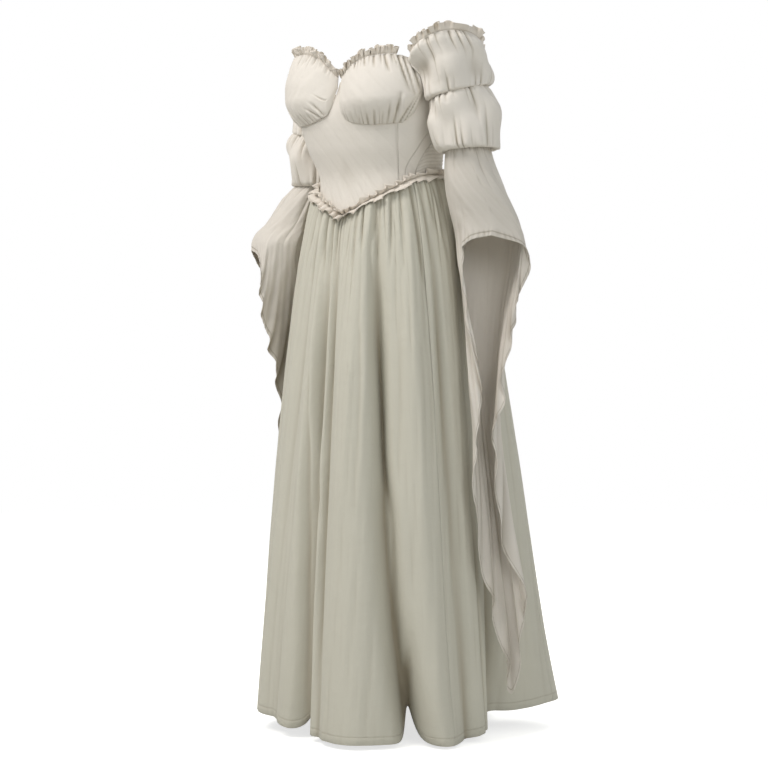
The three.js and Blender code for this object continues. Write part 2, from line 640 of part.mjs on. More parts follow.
function sleeves() {
  const stations = {
    upper: { ...curves(upperPuff, 'v'), first: 0 },
    lower: { ...curves(lowerPuff, 'v'), first: 1 },
  };
  const turns = Array.from({ length: puff.columns }, (_, i) => (360 * i) / puff.columns);
  const frillTurns = Array.from({ length: 3 * sleeveFrill.waves }, (_, i) => (120 * i) / sleeveFrill.waves);
  const sides = [
    { name: 'left', side: 1, line: leftBellLine, edge: leftBellHem },
    { name: 'right', side: -1, line: rightBellLine, edge: rightBellHem },
  ];
  for (const { name, side, line, edge } of sides) {
    const clear = (point, wall, out) => clearOfBodice(point, bodyGap + wall - out);
    for (const part of ['upper', 'lower']) {
      const table = stations[part];
      const place = (turn, v, out) => {
        const point = ringPoint(table, side, turn, v, out, puff.gatherDeep);
        return clear(point, sleeveWall, out);
      };
      gown.add(clothMesh(`${part}_puff_${name}`, turns, spread(puff.rows), place, sleeveWall, true, ivory));
    }
    const frill = (turn, v, out) => {
      const wave = 0.5 + 0.5 * Math.cos(sleeveFrill.waves * turn * degree);
      const stand = v * (sleeveFrill.flare + sleeveFrill.wave * wave);
      const point = ringPoint(stations.upper, side, turn, 0, out + stand, 0);
      point.z += sleeveFrill.lift + v * sleeveFrill.tall;
      return clear(point, frillWall, out);
    };
    gown.add(clothMesh(`sleeve_frill_${name}`, frillTurns, spread(2), frill, frillWall, true, shade));
    const bellLine = { ...curves([...line].reverse(), 'z'), topZ: line[0].z };
    const bellHem = curves(edge, 'turn');
    const rows = spread(bell.rows).map((v) => v ** 1.1);
    const inner = bellTurns().map((turn) => rows.map((v) => bellPoint(side, bellLine, bellHem, turn, v)));
    const faces = bellFaces(inner, side, sleeveWall);
    const place = (i, j, out) => faces[out > 0 ? 1 : 0][i][j];
    gown.add(clothMesh(`bell_${name}`, [...inner.keys()], [...rows.keys()], place, sleeveWall, true, shade));
  }
}

bodice();
cups();
skirtPanels();
sleeves();

export default gown;
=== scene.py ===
# Renaissance ball gown, dressed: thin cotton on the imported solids, with gathers, folds, frills and stitching.
# Tables are in millimetres and degrees, as in the part's source; meshes are put in metres when they are made.
# The gown faces -Y, the wearer's left is +X, and angles run from the front towards the wearer's left.
import math
from types import SimpleNamespace
import bpy
import numpy as np
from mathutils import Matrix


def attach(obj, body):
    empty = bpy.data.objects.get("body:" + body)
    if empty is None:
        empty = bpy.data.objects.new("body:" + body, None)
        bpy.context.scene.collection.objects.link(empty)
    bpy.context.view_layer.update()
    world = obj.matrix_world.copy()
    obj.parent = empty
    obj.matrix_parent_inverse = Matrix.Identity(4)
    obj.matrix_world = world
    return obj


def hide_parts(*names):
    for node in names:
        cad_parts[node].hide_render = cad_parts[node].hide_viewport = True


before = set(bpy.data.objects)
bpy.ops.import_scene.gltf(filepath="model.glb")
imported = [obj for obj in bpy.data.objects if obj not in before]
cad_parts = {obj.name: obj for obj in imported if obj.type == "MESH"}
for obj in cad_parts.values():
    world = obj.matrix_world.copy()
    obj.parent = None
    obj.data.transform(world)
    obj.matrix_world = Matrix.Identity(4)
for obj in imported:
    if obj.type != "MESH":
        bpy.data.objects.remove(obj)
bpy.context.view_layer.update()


# A smooth line through one column of a table: cubic pieces whose slope at each row is the harmonic mean
# of the slopes beside it, so that it never overshoots a row
def lineThrough(at, value):
    at = np.asarray(at, float)
    value = np.asarray(value, float)
    step = np.diff(at)
    slope = np.diff(value) / step
    tangent = np.concatenate([slope[:1], np.zeros(len(at) - 2), slope[-1:]])
    both = slope[:-1] * slope[1:]
    total = slope[:-1] + slope[1:]
    tangent[1:-1] = np.where(both > 0, 2 * both / np.where(total == 0, 1, total), 0)

    def line(x):
        inside = np.clip(x, at[0], at[-1])
        i = np.clip(np.searchsorted(at, inside, side="right") - 1, 0, len(at) - 2)
        u = (inside - at[i]) / step[i]
        rise = u * u * (3 - 2 * u)
        bend = step[i] * (tangent[i] * u * (1 - u) ** 2 + tangent[i + 1] * u * u * (u - 1))
        return value[i] * (1 - rise) + value[i + 1] * rise + bend
    return line


# One smooth line for each named column after the first, which is the key
def smoothTable(names, rows):
    columns = list(zip(*rows))
    return SimpleNamespace(**{name: lineThrough(columns[0], column)
                              for name, column in zip(names.split()[1:], columns[1:])})


def bump(x):
    return np.exp(-np.square(x))


def blend(a, b, u):
    return a + (b - a) * u


def wrap(deg):
    return deg - 360 * np.round(deg / 360)


def sinD(deg):
    return np.sin(np.radians(deg))


def cosD(deg):
    return np.cos(np.radians(deg))


# A smooth uneven line between -1 and 1: four sines whose lengths share no common measure
def uneven(x, seed):
    return (0.4 * np.sin(x + 1.7 * seed) + 0.28 * np.sin(2.37 * x + 2.9 * seed)
            + 0.2 * np.sin(4.81 * x + 0.6 * seed) + 0.12 * np.sin(9.13 * x + 4.1 * seed))


# Rounded pipes of cloth with a sharp crease between them: 0 in the crease, 1 on the pipe
def pipes(turns):
    return np.abs(np.sin(np.pi * turns)) ** 0.65


# Sizes of the gown, as the solids have them
torso = smoothTable("z middle side front back", [
    (-110, 8, 150, 108, 105), (-72, 6, 138, 104, 98), (0, 0, 126, 94, 92), (58, -15, 144, 99, 95),
    (109, -24, 155, 102, 98), (170, -28, 158, 86, 95), (240, -28, 160, 80, 92)])
torsoSquareness = 2.25
waistLine = smoothTable("deg z", [(0, -76), (23, -54), (45, -34), (65, -13), (82, -1), (120, 5), (180, 8)])
cupSeamLine = smoothTable("deg z", [
    (0, 180), (3, 160), (7, 124), (12, 107), (24, 95), (45, 90), (62, 92), (72, 110), (79, 142), (86, 163),
    (92, 166)])
neckLine = smoothTable("deg z", [(0, 180), (12, 190), (26, 206), (42, 217), (56, 219), (72, 208), (86, 190)])
seams = smoothTable("z princess side back", [
    (-20, 58, 62.5, 71), (5, 58.5, 64, 74), (90, 60, 88, 94), (170, 60, 90, 96)])
cupShare = smoothTable("up share", [(0, 0.05), (0.15, 0.5), (0.38, 0.93), (0.56, 1), (0.8, 0.86), (1, 0.58)])
hemLine = smoothTable("deg radius z", [
    (-180, 285, -1040), (-135, 280, -1040), (-90, 264, -1036), (-50, 264, -1030), (0, 232, -1054),
    (45, 236, -1057), (68, 238, -1060), (90, 238, -1050), (135, 280, -1017), (180, 285, -1040)])
cloth = {"bodiceWall": 1.8, "skirtWall": 2.0, "sleeveWall": 1.4, "frillWall": 1.2, "lap": 2.3, "seamGap": 0.5}
cup = {"from": 2.4, "to": 86, "bulge": 44, "roundness": 0.85}
rightCup = {"seamLift": 12, "neckLift": 20, "fade": 20}
skirt = {"spreadPower": 0.58, "middleAtHem": 35, "waistEase": 3}
skirtFolds = [  # degrees, out at the hem, half width, lean, hem lift, share at mid height
    (-165, -38, 9, 3, 14, 0.7), (-145, 26, 12, 0, 0, 0.7), (-118, -44, 9, -4, 18, 0.7),
    (-92, 16, 12, 0, 0, 0.8), (-68, -20, 6, 2, 8, 0.6), (-30, -16, 8, -4, 4, 0.5),
    (-9, -40, 5.5, 0, 26, 0.75), (4, -12, 4, 2, 0, 1.6), (24, 40, 15, 4, 0, 0.5),
    (51.5, -84, 5.5, 15, 58, 0.42), (63, 34, 8, 6, 0, 0.5), (78, -12, 4, 3, 0, 1),
    (108, -54, 13, 4, 12, 0.5), (143, 48, 13, 0, 0, 0.55), (165, -40, 8, -3, 14, 0.7)]


# Superellipse round the section's middle: (|sin/side|^n + |cos/half|^n)^(-1/n)
def torsoRadius(deg, z):
    half = np.where(cosD(deg) > 0, torso.front(z), torso.back(z))
    across = np.abs(sinD(deg)) / torso.side(z)
    along = np.abs(cosD(deg)) / half
    return (across ** torsoSquareness + along ** torsoSquareness) ** (-1 / torsoSquareness)


# A point at an angle and radius round a middle that lies back from the axis
def polar(deg, radius, middle, z):
    return np.stack(np.broadcast_arrays(radius * sinD(deg), middle - radius * cosD(deg), z), -1)


def cupLift(deg, most):
    return most * np.clip(np.minimum(-deg / rightCup["fade"], (90 + deg) / rightCup["fade"]), 0, 1)


def cupEdges(deg):
    side = np.abs(deg)
    return (cupSeamLine.z(side) + cupLift(deg, rightCup["seamLift"]),
            neckLine.z(side) + cupLift(deg, rightCup["neckLift"]))


def bodiceTop(deg):
    side = np.abs(deg)
    return np.where(side < 90, cupEdges(deg)[0], blend(166, 150, bump((180 - side) / 40)))


# A cup's rise over the bodice: a rounded arch across it times its profile up it
def cupRise(deg, up):
    along = np.clip((np.abs(deg) - cup["from"]) / (cup["to"] - cup["from"]), 0, 1)
    arch = np.sin(np.pi * along) ** cup["roundness"]
    return arch * cup["bulge"] * cupShare.share(np.clip(up, 0, 1))


def waistZ(deg):
    return waistLine.z(np.abs(wrap(deg)))


def hemZ(deg):
    z = hemLine.z(wrap(deg))
    for at, out, wide, lean, lift, grow in skirtFolds:
        z = z + lift * bump(wrap(deg - at) / (0.55 * wide))
    return z


def skirtMiddle(deg, t):
    return blend(torso.middle(waistZ(deg)), skirt["middleAtHem"], t ** 0.6)


# Skirt radius at share t of the way down: it opens from the waist to the hem as a power of t, and each
# large fold is a bell curve across that drifts round and grows to the hem
def skirtRadius(deg, t):
    turn = wrap(deg)
    waist = torsoRadius(turn, waistZ(turn)) + cloth["lap"] + skirt["waistEase"] * np.minimum(1, t / 0.01)
    radius = blend(waist, hemLine.radius(turn), t ** skirt["spreadPower"])
    for at, out, wide, lean, lift, grow in skirtFolds:
        growth = np.minimum(1, t / 0.3) * grow * (1 - t ** 5) + t ** 5
        centre = at - lean * (1 - t ** 4)
        radius = radius + out * growth * bump(wrap(turn - centre) / (wide * blend(0.75, 1, t)))
    return radius


fineGathers = [  # pipes round the waist, depth, share of the skirt's length they fade by, unevenness, seed
    (84, 4.2, 0.06, 2.0, 3), (44, 6.6, 0.15, 4.2, 5), (21, 6.5, 0.3, 8.0, 8)]
skirtCreases = [  # degrees and share down at the start and end, depth, half width in mm
    (-4, 0, -1, 0.17, 5.5, 4.0), (-18.8, 0, -14, 0.13, 4.5, 3.6), (12, 0, 10.5, 0.11, 4.0, 3.2),
    (40.2, 0, 36, 0.12, 4.5, 3.4), (49, 0, 45, 0.15, 4.5, 3.6), (63.8, 0, 67.2, 0.24, 5.5, 4.0),
    (83.5, 0, 88, 0.16, 5.0, 3.8), (4, 0, 5, 0.09, 3.6, 3.0), (18, 0, 17, 0.14, 4.2, 3.4),
    (24, 0, 24.5, 0.1, 3.8, 3.0), (56, 0, 55, 0.13, 4.0, 3.4), (71, 0, 74, 0.16, 4.4, 3.6),
    (77, 0, 80.5, 0.1, 3.6, 3.0), (-10, 0, -7, 0.12, 4.2, 3.4), (-27, 0, -24, 0.16, 4.6, 3.6),
    (-34, 0, -33, 0.1, 3.8, 3.2), (-44, 0, -43, 0.2, 5.0, 4.0), (-60, 0, -58, 0.14, 4.4, 3.6),
    (98, 0, 103, 0.2, 5.0, 4.0), (110, 0, 114, 0.13, 4.4, 3.6), (127, 0, 128, 0.22, 5.0, 4.2),
    (140, 0, 141, 0.12, 4.2, 3.4), (156, 0, 155, 0.2, 5.0, 4.0), (172, 0, 173, 0.14, 4.4, 3.6),
    (-172, 0, -170, 0.2, 5.0, 4.0), (-156, 0, -158, 0.12, 4.2, 3.4), (-141, 0, -139, 0.22, 5.0, 4.2),
    (-126, 0, -124, 0.14, 4.4, 3.6), (-112, 0, -108, 0.2, 5.0, 4.0), (-98, 0, -99, 0.12, 4.2, 3.4),
    (-84, 0, -82, 0.22, 5.0, 4.0), (-72, 0, -71, 0.12, 4.0, 3.4),
    (26, 0.25, 25, 0.62, 2.5, 7), (8, 0.3, 9, 0.75, 2.2, 8), (61, 0.3, 60, 0.8, 2.4, 8)]
skirtValleys = [  # the long valleys: share down, degrees and depth along each, and their half width in mm
    (smoothTable("t deg deep", [(0.28, -17, 0), (0.37, -15.8, 5), (0.54, -14.2, 7), (0.72, -12.8, 7),
                                (0.86, -12.2, 5), (1, -12, 2)]), 4.5),
    (smoothTable("t deg deep", [(0.0, -17.5, 2), (0.1, -14, 4), (0.2, -13, 4), (0.37, -11.8, 7),
                                (0.5, -6, 6), (0.65, 0, 0)]), 4.5),
    (smoothTable("t deg deep", [(0.0, 37, 3), (0.03, 35.5, 4), (0.1, 30.8, 6), (0.153, 32, 7), (0.254, 33, 9),
                                (0.303, 34.2, 10), (0.378, 36.5, 10), (0.483, 38.2, 9), (0.593, 43.2, 9),
                                (0.748, 45, 9), (0.848, 47.2, 8), (1, 53, 3)]), 6),
    (smoothTable("t deg deep", [(0.5, 80, 0), (0.69, 79.8, 4), (0.82, 79, 4), (1, 78, 1)]), 7),
    (smoothTable("t deg deep", [(0.5, 90, 0), (0.69, 91, 5), (0.95, 91.8, 6), (1, 92, 4)]), 7),
    (smoothTable("t deg deep", [(0.2, -120, 0), (0.5, -119, 8), (0.8, -118, 8), (1, -118, 3)]), 7),
    (smoothTable("t deg deep", [(0.2, 166, 0), (0.5, 165, 8), (0.8, 165, 8), (1, 165, 3)]), 7),
    (smoothTable("t deg deep", [(0.15, 110, 0), (0.45, 108, 6), (0.8, 107, 6), (1, 107, 2)]), 8)]


# A crease is a soft trough along a line from one place to another, which fades at both ends
def creased(deg, t, radius, table):
    total = 0
    for deg0, t0, deg1, t1, deep, wide in table:
        along = np.clip((t - t0) / (t1 - t0), 0, 1)
        centre = blend(deg0, deg1, along ** 0.85)
        ends = np.clip((t - t0) / 0.02 + 1, 0, 1) * np.clip((t1 - t) / (0.4 * (t1 - t0)), 0, 1) ** 0.7
        across = wrap(deg - centre) * np.radians(1) * radius
        total = total - deep * ends * bump(across / (wide * blend(0.7, 1.3, along)))
    return total


def valleys(deg, t, radius, table):
    total = 0
    for path, wide in table:
        across = wrap(deg - path.deg(t)) * np.radians(1) * radius
        inside = (t >= 0) * path.deep(t)
        beside = bump((np.abs(across) - 2.4 * wide) / (1.6 * wide))
        total = total - inside * (bump(across / wide) - 0.3 * beside)
    return total


# Fine form of the skirt over its radius: pipes at the waist that merge downwards, placed creases, and
# a slow unevenness that keeps any fold from being a copy of the next
def skirtDetail(deg, t, radius):
    turn = wrap(deg)
    start = np.clip(t / 0.008, 0, 1)
    total = 0
    for count, deep, fadeBy, loose, seed in fineGathers:
        drift = loose * uneven(np.radians(turn) * 5 + 2 * t, seed) / 360
        mixed = 0.65 + 0.35 * uneven(np.radians(turn) * 7, seed + 1)
        reach = fadeBy * (1 + 0.6 * uneven(np.radians(turn) * 9, seed + 2))
        total = total + deep * mixed * bump(t / reach) * (pipes(count * (turn / 360 + drift)) - 0.75)
    soft = 2.6 * uneven(np.radians(turn) * 9 + 2.5 * t, 2) * np.clip(t / 0.2, 0, 1)
    soft = soft + 0.5 * uneven(np.radians(turn) * 23 - 3 * t, 6) * np.clip(t / 0.1, 0, 1)
    placed = creased(turn, t, radius, skirtCreases) + valleys(turn, t, radius, skirtValleys)
    return start * (total + soft + placed)


def skirtPoint(deg, t, out, detail=True):
    radius = skirtRadius(deg, t)
    if detail:
        radius = radius + skirtDetail(deg, t, radius)
    z = blend(waistZ(deg) - cloth["seamGap"], hemZ(deg), t)
    return polar(deg, radius + out, skirtMiddle(deg, t), z)


def bodicePoint(deg, z, out):
    return polar(deg, torsoRadius(deg, z) + out, torso.middle(z), z)


def gridNormals(points, core, closed):
    if closed:
        along = np.roll(points, -1, 0) - np.roll(points, 1, 0)
    else:
        along = np.gradient(points, axis=0)
    down = np.gradient(points, axis=1)
    normal = np.cross(along, down)
    normal /= np.maximum(np.linalg.norm(normal, axis=-1, keepdims=True), 1e-9)
    return normal * np.sign(np.sum(normal * (points - core)))


blurReach = 1.6  # half widths that the blur's weights reach
foldSizes = [(5, 1.7), (16, 6.0)]  # half width of the blur and the depth of a full crease, in mm


# The grid blurred by a bell of weights with a half width in millimetres, wrapped where it is closed
def blurred(points, wide, closed):
    result = points
    for axis in (0, 1):
        step = np.linalg.norm(np.diff(points, axis=axis), axis=-1).mean()
        reach = int(min(max(1, round(blurReach * wide / step)), points.shape[axis] // 3))
        shifts = np.arange(-reach, reach + 1)
        weights = bump(shifts * step / wide)
        index = np.arange(points.shape[axis])[:, None] + shifts
        if closed and axis == 0:
            index = index % points.shape[0]
        index = np.clip(index, 0, points.shape[axis] - 1)
        result = sum(w * np.take(result, index[:, k], axis) for k, w in enumerate(weights)) / weights.sum()
    return result


# How deep a point lies in a crease, 0 to 1: its depth under the blurred cloth, at two sizes of crease
# The depth is the mask for painted shade in creases, which the material mixes into the colour
def foldDepth(points, normal, closed):
    depth = 0
    for wide, full in foldSizes:
        under = np.sum((blurred(points, wide, closed) - points) * normal, -1)
        depth = np.maximum(depth, np.clip(under / full, 0, 1))
    return depth


# A thin closed shell of cloth over a grid of points on its outer face: the inner face lies one wall
# inside along the normals, and a middle row rounds each rim. Three numbers are kept at each point: how
# far it lies from the lower edge, from the nearest side seam, and how deep in a crease, for painted shade
def clothPiece(name, points, wall, closed, material, core=None, nodes=None):
    if core is None:
        core = np.stack([0 * points[..., 0], 0 * points[..., 1], points[..., 2]], -1)
    normal = gridNormals(points, core, closed)
    across, down = points.shape[:2]
    widthSteps = np.linalg.norm(np.diff(points, axis=0), axis=-1)
    if closed:
        last = np.linalg.norm(points[:1] - points[-1:], axis=-1)
        widthSteps = np.concatenate([widthSteps, last])
    fullWidth = widthSteps.sum(0).max()
    lengthSteps = np.linalg.norm(np.diff(points, axis=1), axis=-1)
    length = np.concatenate([np.zeros((across, 1)), np.cumsum(lengthSteps, 1)], 1)
    spans = across if closed else across - 1
    u = np.arange(across) / spans * fullWidth
    uv = np.stack(np.broadcast_arrays(u[:, None], length), -1)
    hem = length[:, -1:] - length
    seam = np.broadcast_to(np.minimum(u, fullWidth - u)[:, None], hem.shape)
    if closed:
        seam = np.full(hem.shape, 1000.0)
    edge = 0.5 * wall
    topDown = points[:, 1] - points[:, 0]
    lowDown = points[:, -1] - points[:, -2]
    topDown /= np.maximum(np.linalg.norm(topDown, axis=-1, keepdims=True), 1e-9)
    lowDown /= np.maximum(np.linalg.norm(lowDown, axis=-1, keepdims=True), 1e-9)
    inner = points - normal * wall
    topRow = 0.5 * (points[:, :1] + inner[:, :1]) - edge * topDown[:, None]
    lowRow = 0.5 * (points[:, -1:] + inner[:, -1:]) + edge * lowDown[:, None]
    loop = np.concatenate([points, lowRow, inner[:, ::-1], topRow], 1)  # once round the wall
    around = loop.shape[1]
    verts = loop.reshape(-1, 3) * 0.001
    i = np.arange(spans)[:, None]
    j = np.arange(around)[None, :]
    a = i * around + j
    b = i * around + (j + 1) % around
    c = ((i + 1) % across) * around + (j + 1) % around
    d = ((i + 1) % across) * around + j
    quads = np.stack([a, b, c, d], -1).reshape(-1, 4)
    extra = []
    if not closed:
        for column, flip in ((0, False), (across - 1, True)):
            k = np.arange(down - 1)
            first = column * around
            cap = np.stack([first + k, first + (around - 2 - k), first + (around - 3 - k), first + k + 1], -1)
            extra.append(cap[:, ::-1] if flip else cap)
            low = [first + down - 1, first + around - 1 - down, first + down]
            top = [first, first + around - 1, first + around - 2]
            extra.append(np.array([[low[0], low[1], low[2], low[2]]])[:, ::(-1 if flip else 1)])
            extra.append(np.array([[top[0], top[1], top[2], top[2]]])[:, ::(-1 if flip else 1)])
    faces = [list(q) for q in quads.tolist()]
    capStart = len(faces)
    for block in extra:
        for q in block.tolist():
            faces.append(list(dict.fromkeys(q)))
    va, vb, vc, vd = (verts[quads[:, k]] for k in range(4))
    volume = np.sum(va * np.cross(vb, vc)) + np.sum(va * np.cross(vc, vd))
    if volume < 0:
        faces = [face[::-1] for face in faces]
    mesh = bpy.data.meshes.new(name)
    mesh.from_pydata(verts.tolist(), [], faces)
    loopUv = np.concatenate([uv, uv[:, -1:], uv[:, ::-1], uv[:, :1]], 1).reshape(-1, 2) * 0.001
    cornerVert = np.empty(len(mesh.loops), np.int32)
    mesh.loops.foreach_get("vertex_index", cornerVert)
    cornerUv = loopUv[cornerVert]
    if closed:
        starts = np.empty(len(mesh.polygons), np.int32)
        mesh.polygons.foreach_get("loop_start", starts)
        lastSpan = (np.arange(len(starts)) // around == across - 1) & (np.arange(len(starts)) < capStart)
        corners = (starts[lastSpan][:, None] + np.arange(4)).ravel()
        corners = corners[cornerVert[corners] < around]
        cornerUv[corners, 0] += fullWidth * 0.001
    layer = mesh.uv_layers.new(name="clothUV")
    layer.data.foreach_set("uv", cornerUv.astype(np.float32).ravel())
    # Crease depth, stored for the material's painted crease shade
    fold = 1000 * foldDepth(points, normal, closed)
    for label, values in (("hemDistance", hem), ("seamDistance", seam), ("fold", fold)):
        ring = np.concatenate([values, values[:, -1:], values[:, ::-1], values[:, :1]], 1)
        store = mesh.attributes.new(label, "FLOAT", "POINT")
        store.data.foreach_set("value", (ring.ravel() * 0.001).astype(np.float32))
    mesh.polygons.foreach_set("use_smooth", np.ones(len(mesh.polygons), bool))
    mesh.update()
    mesh.validate(clean_customdata=False)
    piece = bpy.data.objects.new(name, mesh)
    bpy.context.scene.collection.objects.link(piece)
    mesh.materials.append(material)
    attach(piece, "root")
    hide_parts(*(nodes or [name.replace("cloth_", "")]))
    cells = np.linalg.norm(np.cross(np.diff(points, axis=0)[:, :-1], np.diff(points, axis=1)[:-1]), axis=-1)
    print(f"{name}: {2 * len(faces)} triangles, {cells.sum() * 1e-6:.4f} square metres,"
          f" widest row {fullWidth:.0f} mm, longest {length.max():.0f} mm")
    return piece


def newGroup(name, inputs, outputs):
    group = bpy.data.node_groups.new(name, "ShaderNodeTree")
    for label, kind, value in inputs:
        socket = group.interface.new_socket(label, in_out="INPUT", socket_type=kind)
        if value is not None:
            socket.default_value = value
    for label, kind in outputs:
        group.interface.new_socket(label, in_out="OUTPUT", socket_type=kind)
    return group, group.nodes.new("NodeGroupInput"), group.nodes.new("NodeGroupOutput")


def mathNode(tree, operation, a, b=None, c=None, clamp=False):
    node = tree.nodes.new("ShaderNodeMath")
    node.operation = operation
    node.use_clamp = clamp
    for socket, value in zip(node.inputs, (a, b, c)):
        if value is None:
            continue
        if hasattr(value, "is_linked"):
            tree.links.new(value, socket)
        else:
            socket.default_value = value
    return node.outputs[0]


def noiseNode(tree, vector, scale, detail, roughness):
    node = tree.nodes.new("ShaderNodeTexNoise")
    tree.links.new(vector, node.inputs["Vector"])
    node.inputs["Scale"].default_value = scale
    node.inputs["Detail"].default_value = detail
    node.inputs["Roughness"].default_value = roughness
    return node.outputs["Fac"]


def stretched(tree, vector, scale):
    node = tree.nodes.new("ShaderNodeMapping")
    tree.links.new(vector, node.inputs["Vector"])
    node.inputs["Scale"].default_value = scale
    return node.outputs["Vector"]


# Plain weave on metres of cloth: round threads each way that take turns on top, as a checker of cells
def makeWeave():
    group, given, made = newGroup("plainWeave", [("Cloth", "NodeSocketVector", None),
                                                 ("Threads", "NodeSocketFloat", 1400.0)],
                                  [("Height", "NodeSocketFloat"), ("Slub", "NodeSocketFloat")])
    split = group.nodes.new("ShaderNodeSeparateXYZ")
    group.links.new(given.outputs["Cloth"], split.inputs[0])
    across = mathNode(group, "MULTIPLY", split.outputs[0], given.outputs["Threads"])
    along = mathNode(group, "MULTIPLY", split.outputs[1], given.outputs["Threads"])
    turns = mathNode(group, "ADD", mathNode(group, "FLOOR", across), mathNode(group, "FLOOR", along))
    over = mathNode(group, "FLOORED_MODULO", turns, 2.0)
    warp = mathNode(group, "ABSOLUTE", mathNode(group, "SINE", mathNode(group, "MULTIPLY", across, math.pi)))
    weft = mathNode(group, "ABSOLUTE", mathNode(group, "SINE", mathNode(group, "MULTIPLY", along, math.pi)))
    kept = mathNode(group, "MULTIPLY", warp, over)
    other = mathNode(group, "MULTIPLY", weft, mathNode(group, "SUBTRACT", 1.0, over))
    group.links.new(mathNode(group, "ADD", kept, other), made.inputs["Height"])
    thick = noiseNode(group, stretched(group, given.outputs["Cloth"], (9.0, 420.0, 1.0)), 1.0, 2.0, 0.6)
    tall = noiseNode(group, stretched(group, given.outputs["Cloth"], (420.0, 12.0, 1.0)), 1.0, 2.0, 0.6)
    group.links.new(mathNode(group, "MULTIPLY_ADD", thick, 0.5, mathNode(group, "MULTIPLY", tall, 0.5)),
                    made.inputs["Slub"])
    return group


# A run of stitches at a set distance from an edge, as dashes along it: 1 on the thread
def makeStitches():
    group, given, made = newGroup("stitchRun", [("Distance", "NodeSocketFloat", 1.0),
                                                ("Along", "NodeSocketFloat", 0.0),
                                                ("Offset", "NodeSocketFloat", 0.008),
                                                ("Thread", "NodeSocketFloat", 0.0005),
                                                ("Pitch", "NodeSocketFloat", 0.0035)],
                                  [("Stitch", "NodeSocketFloat"), ("Channel", "NodeSocketFloat")])
    off = mathNode(group, "ABSOLUTE", mathNode(group, "SUBTRACT", given.outputs["Distance"],
                                               given.outputs["Offset"]))
    share = mathNode(group, "DIVIDE", off, given.outputs["Thread"])
    band = mathNode(group, "SUBTRACT", 1.0, share, clamp=True)
    step = mathNode(group, "FRACT", mathNode(group, "DIVIDE", given.outputs["Along"], given.outputs["Pitch"]))
    dash = mathNode(group, "LESS_THAN", step, 0.72)
    group.links.new(mathNode(group, "MULTIPLY", band, dash), made.inputs["Stitch"])
    wide = mathNode(group, "MULTIPLY", given.outputs["Thread"], 4.0)
    group.links.new(mathNode(group, "SUBTRACT", 1.0, mathNode(group, "DIVIDE", off, wide), clamp=True),
                    made.inputs["Channel"])
    return group


# Soft handling creases and slow patches of tone in the cloth
def makeHandling():
    group, given, made = newGroup("handling", [("Cloth", "NodeSocketVector", None),
                                               ("Place", "NodeSocketVector", None),
                                               ("Crush", "NodeSocketFloat", 60.0)],
                                  [("Height", "NodeSocketFloat"), ("Tone", "NodeSocketFloat")])
    sized = group.nodes.new("ShaderNodeVectorMath")
    sized.operation = "SCALE"
    group.links.new(given.outputs["Place"], sized.inputs[0])
    group.links.new(given.outputs["Crush"], sized.inputs["Scale"])
    rough = noiseNode(group, sized.outputs[0], 1.0, 3.0, 0.55)
    ridge = mathNode(group, "ABSOLUTE", mathNode(group, "SUBTRACT", rough, 0.5))
    group.links.new(mathNode(group, "MULTIPLY", ridge, 2.0), made.inputs["Height"])
    group.links.new(noiseNode(group, given.outputs["Place"], 7.0, 2.0, 0.5), made.inputs["Tone"])
    return group


weaveGroup = makeWeave()
stitchGroup = makeStitches()
handlingGroup = makeHandling()
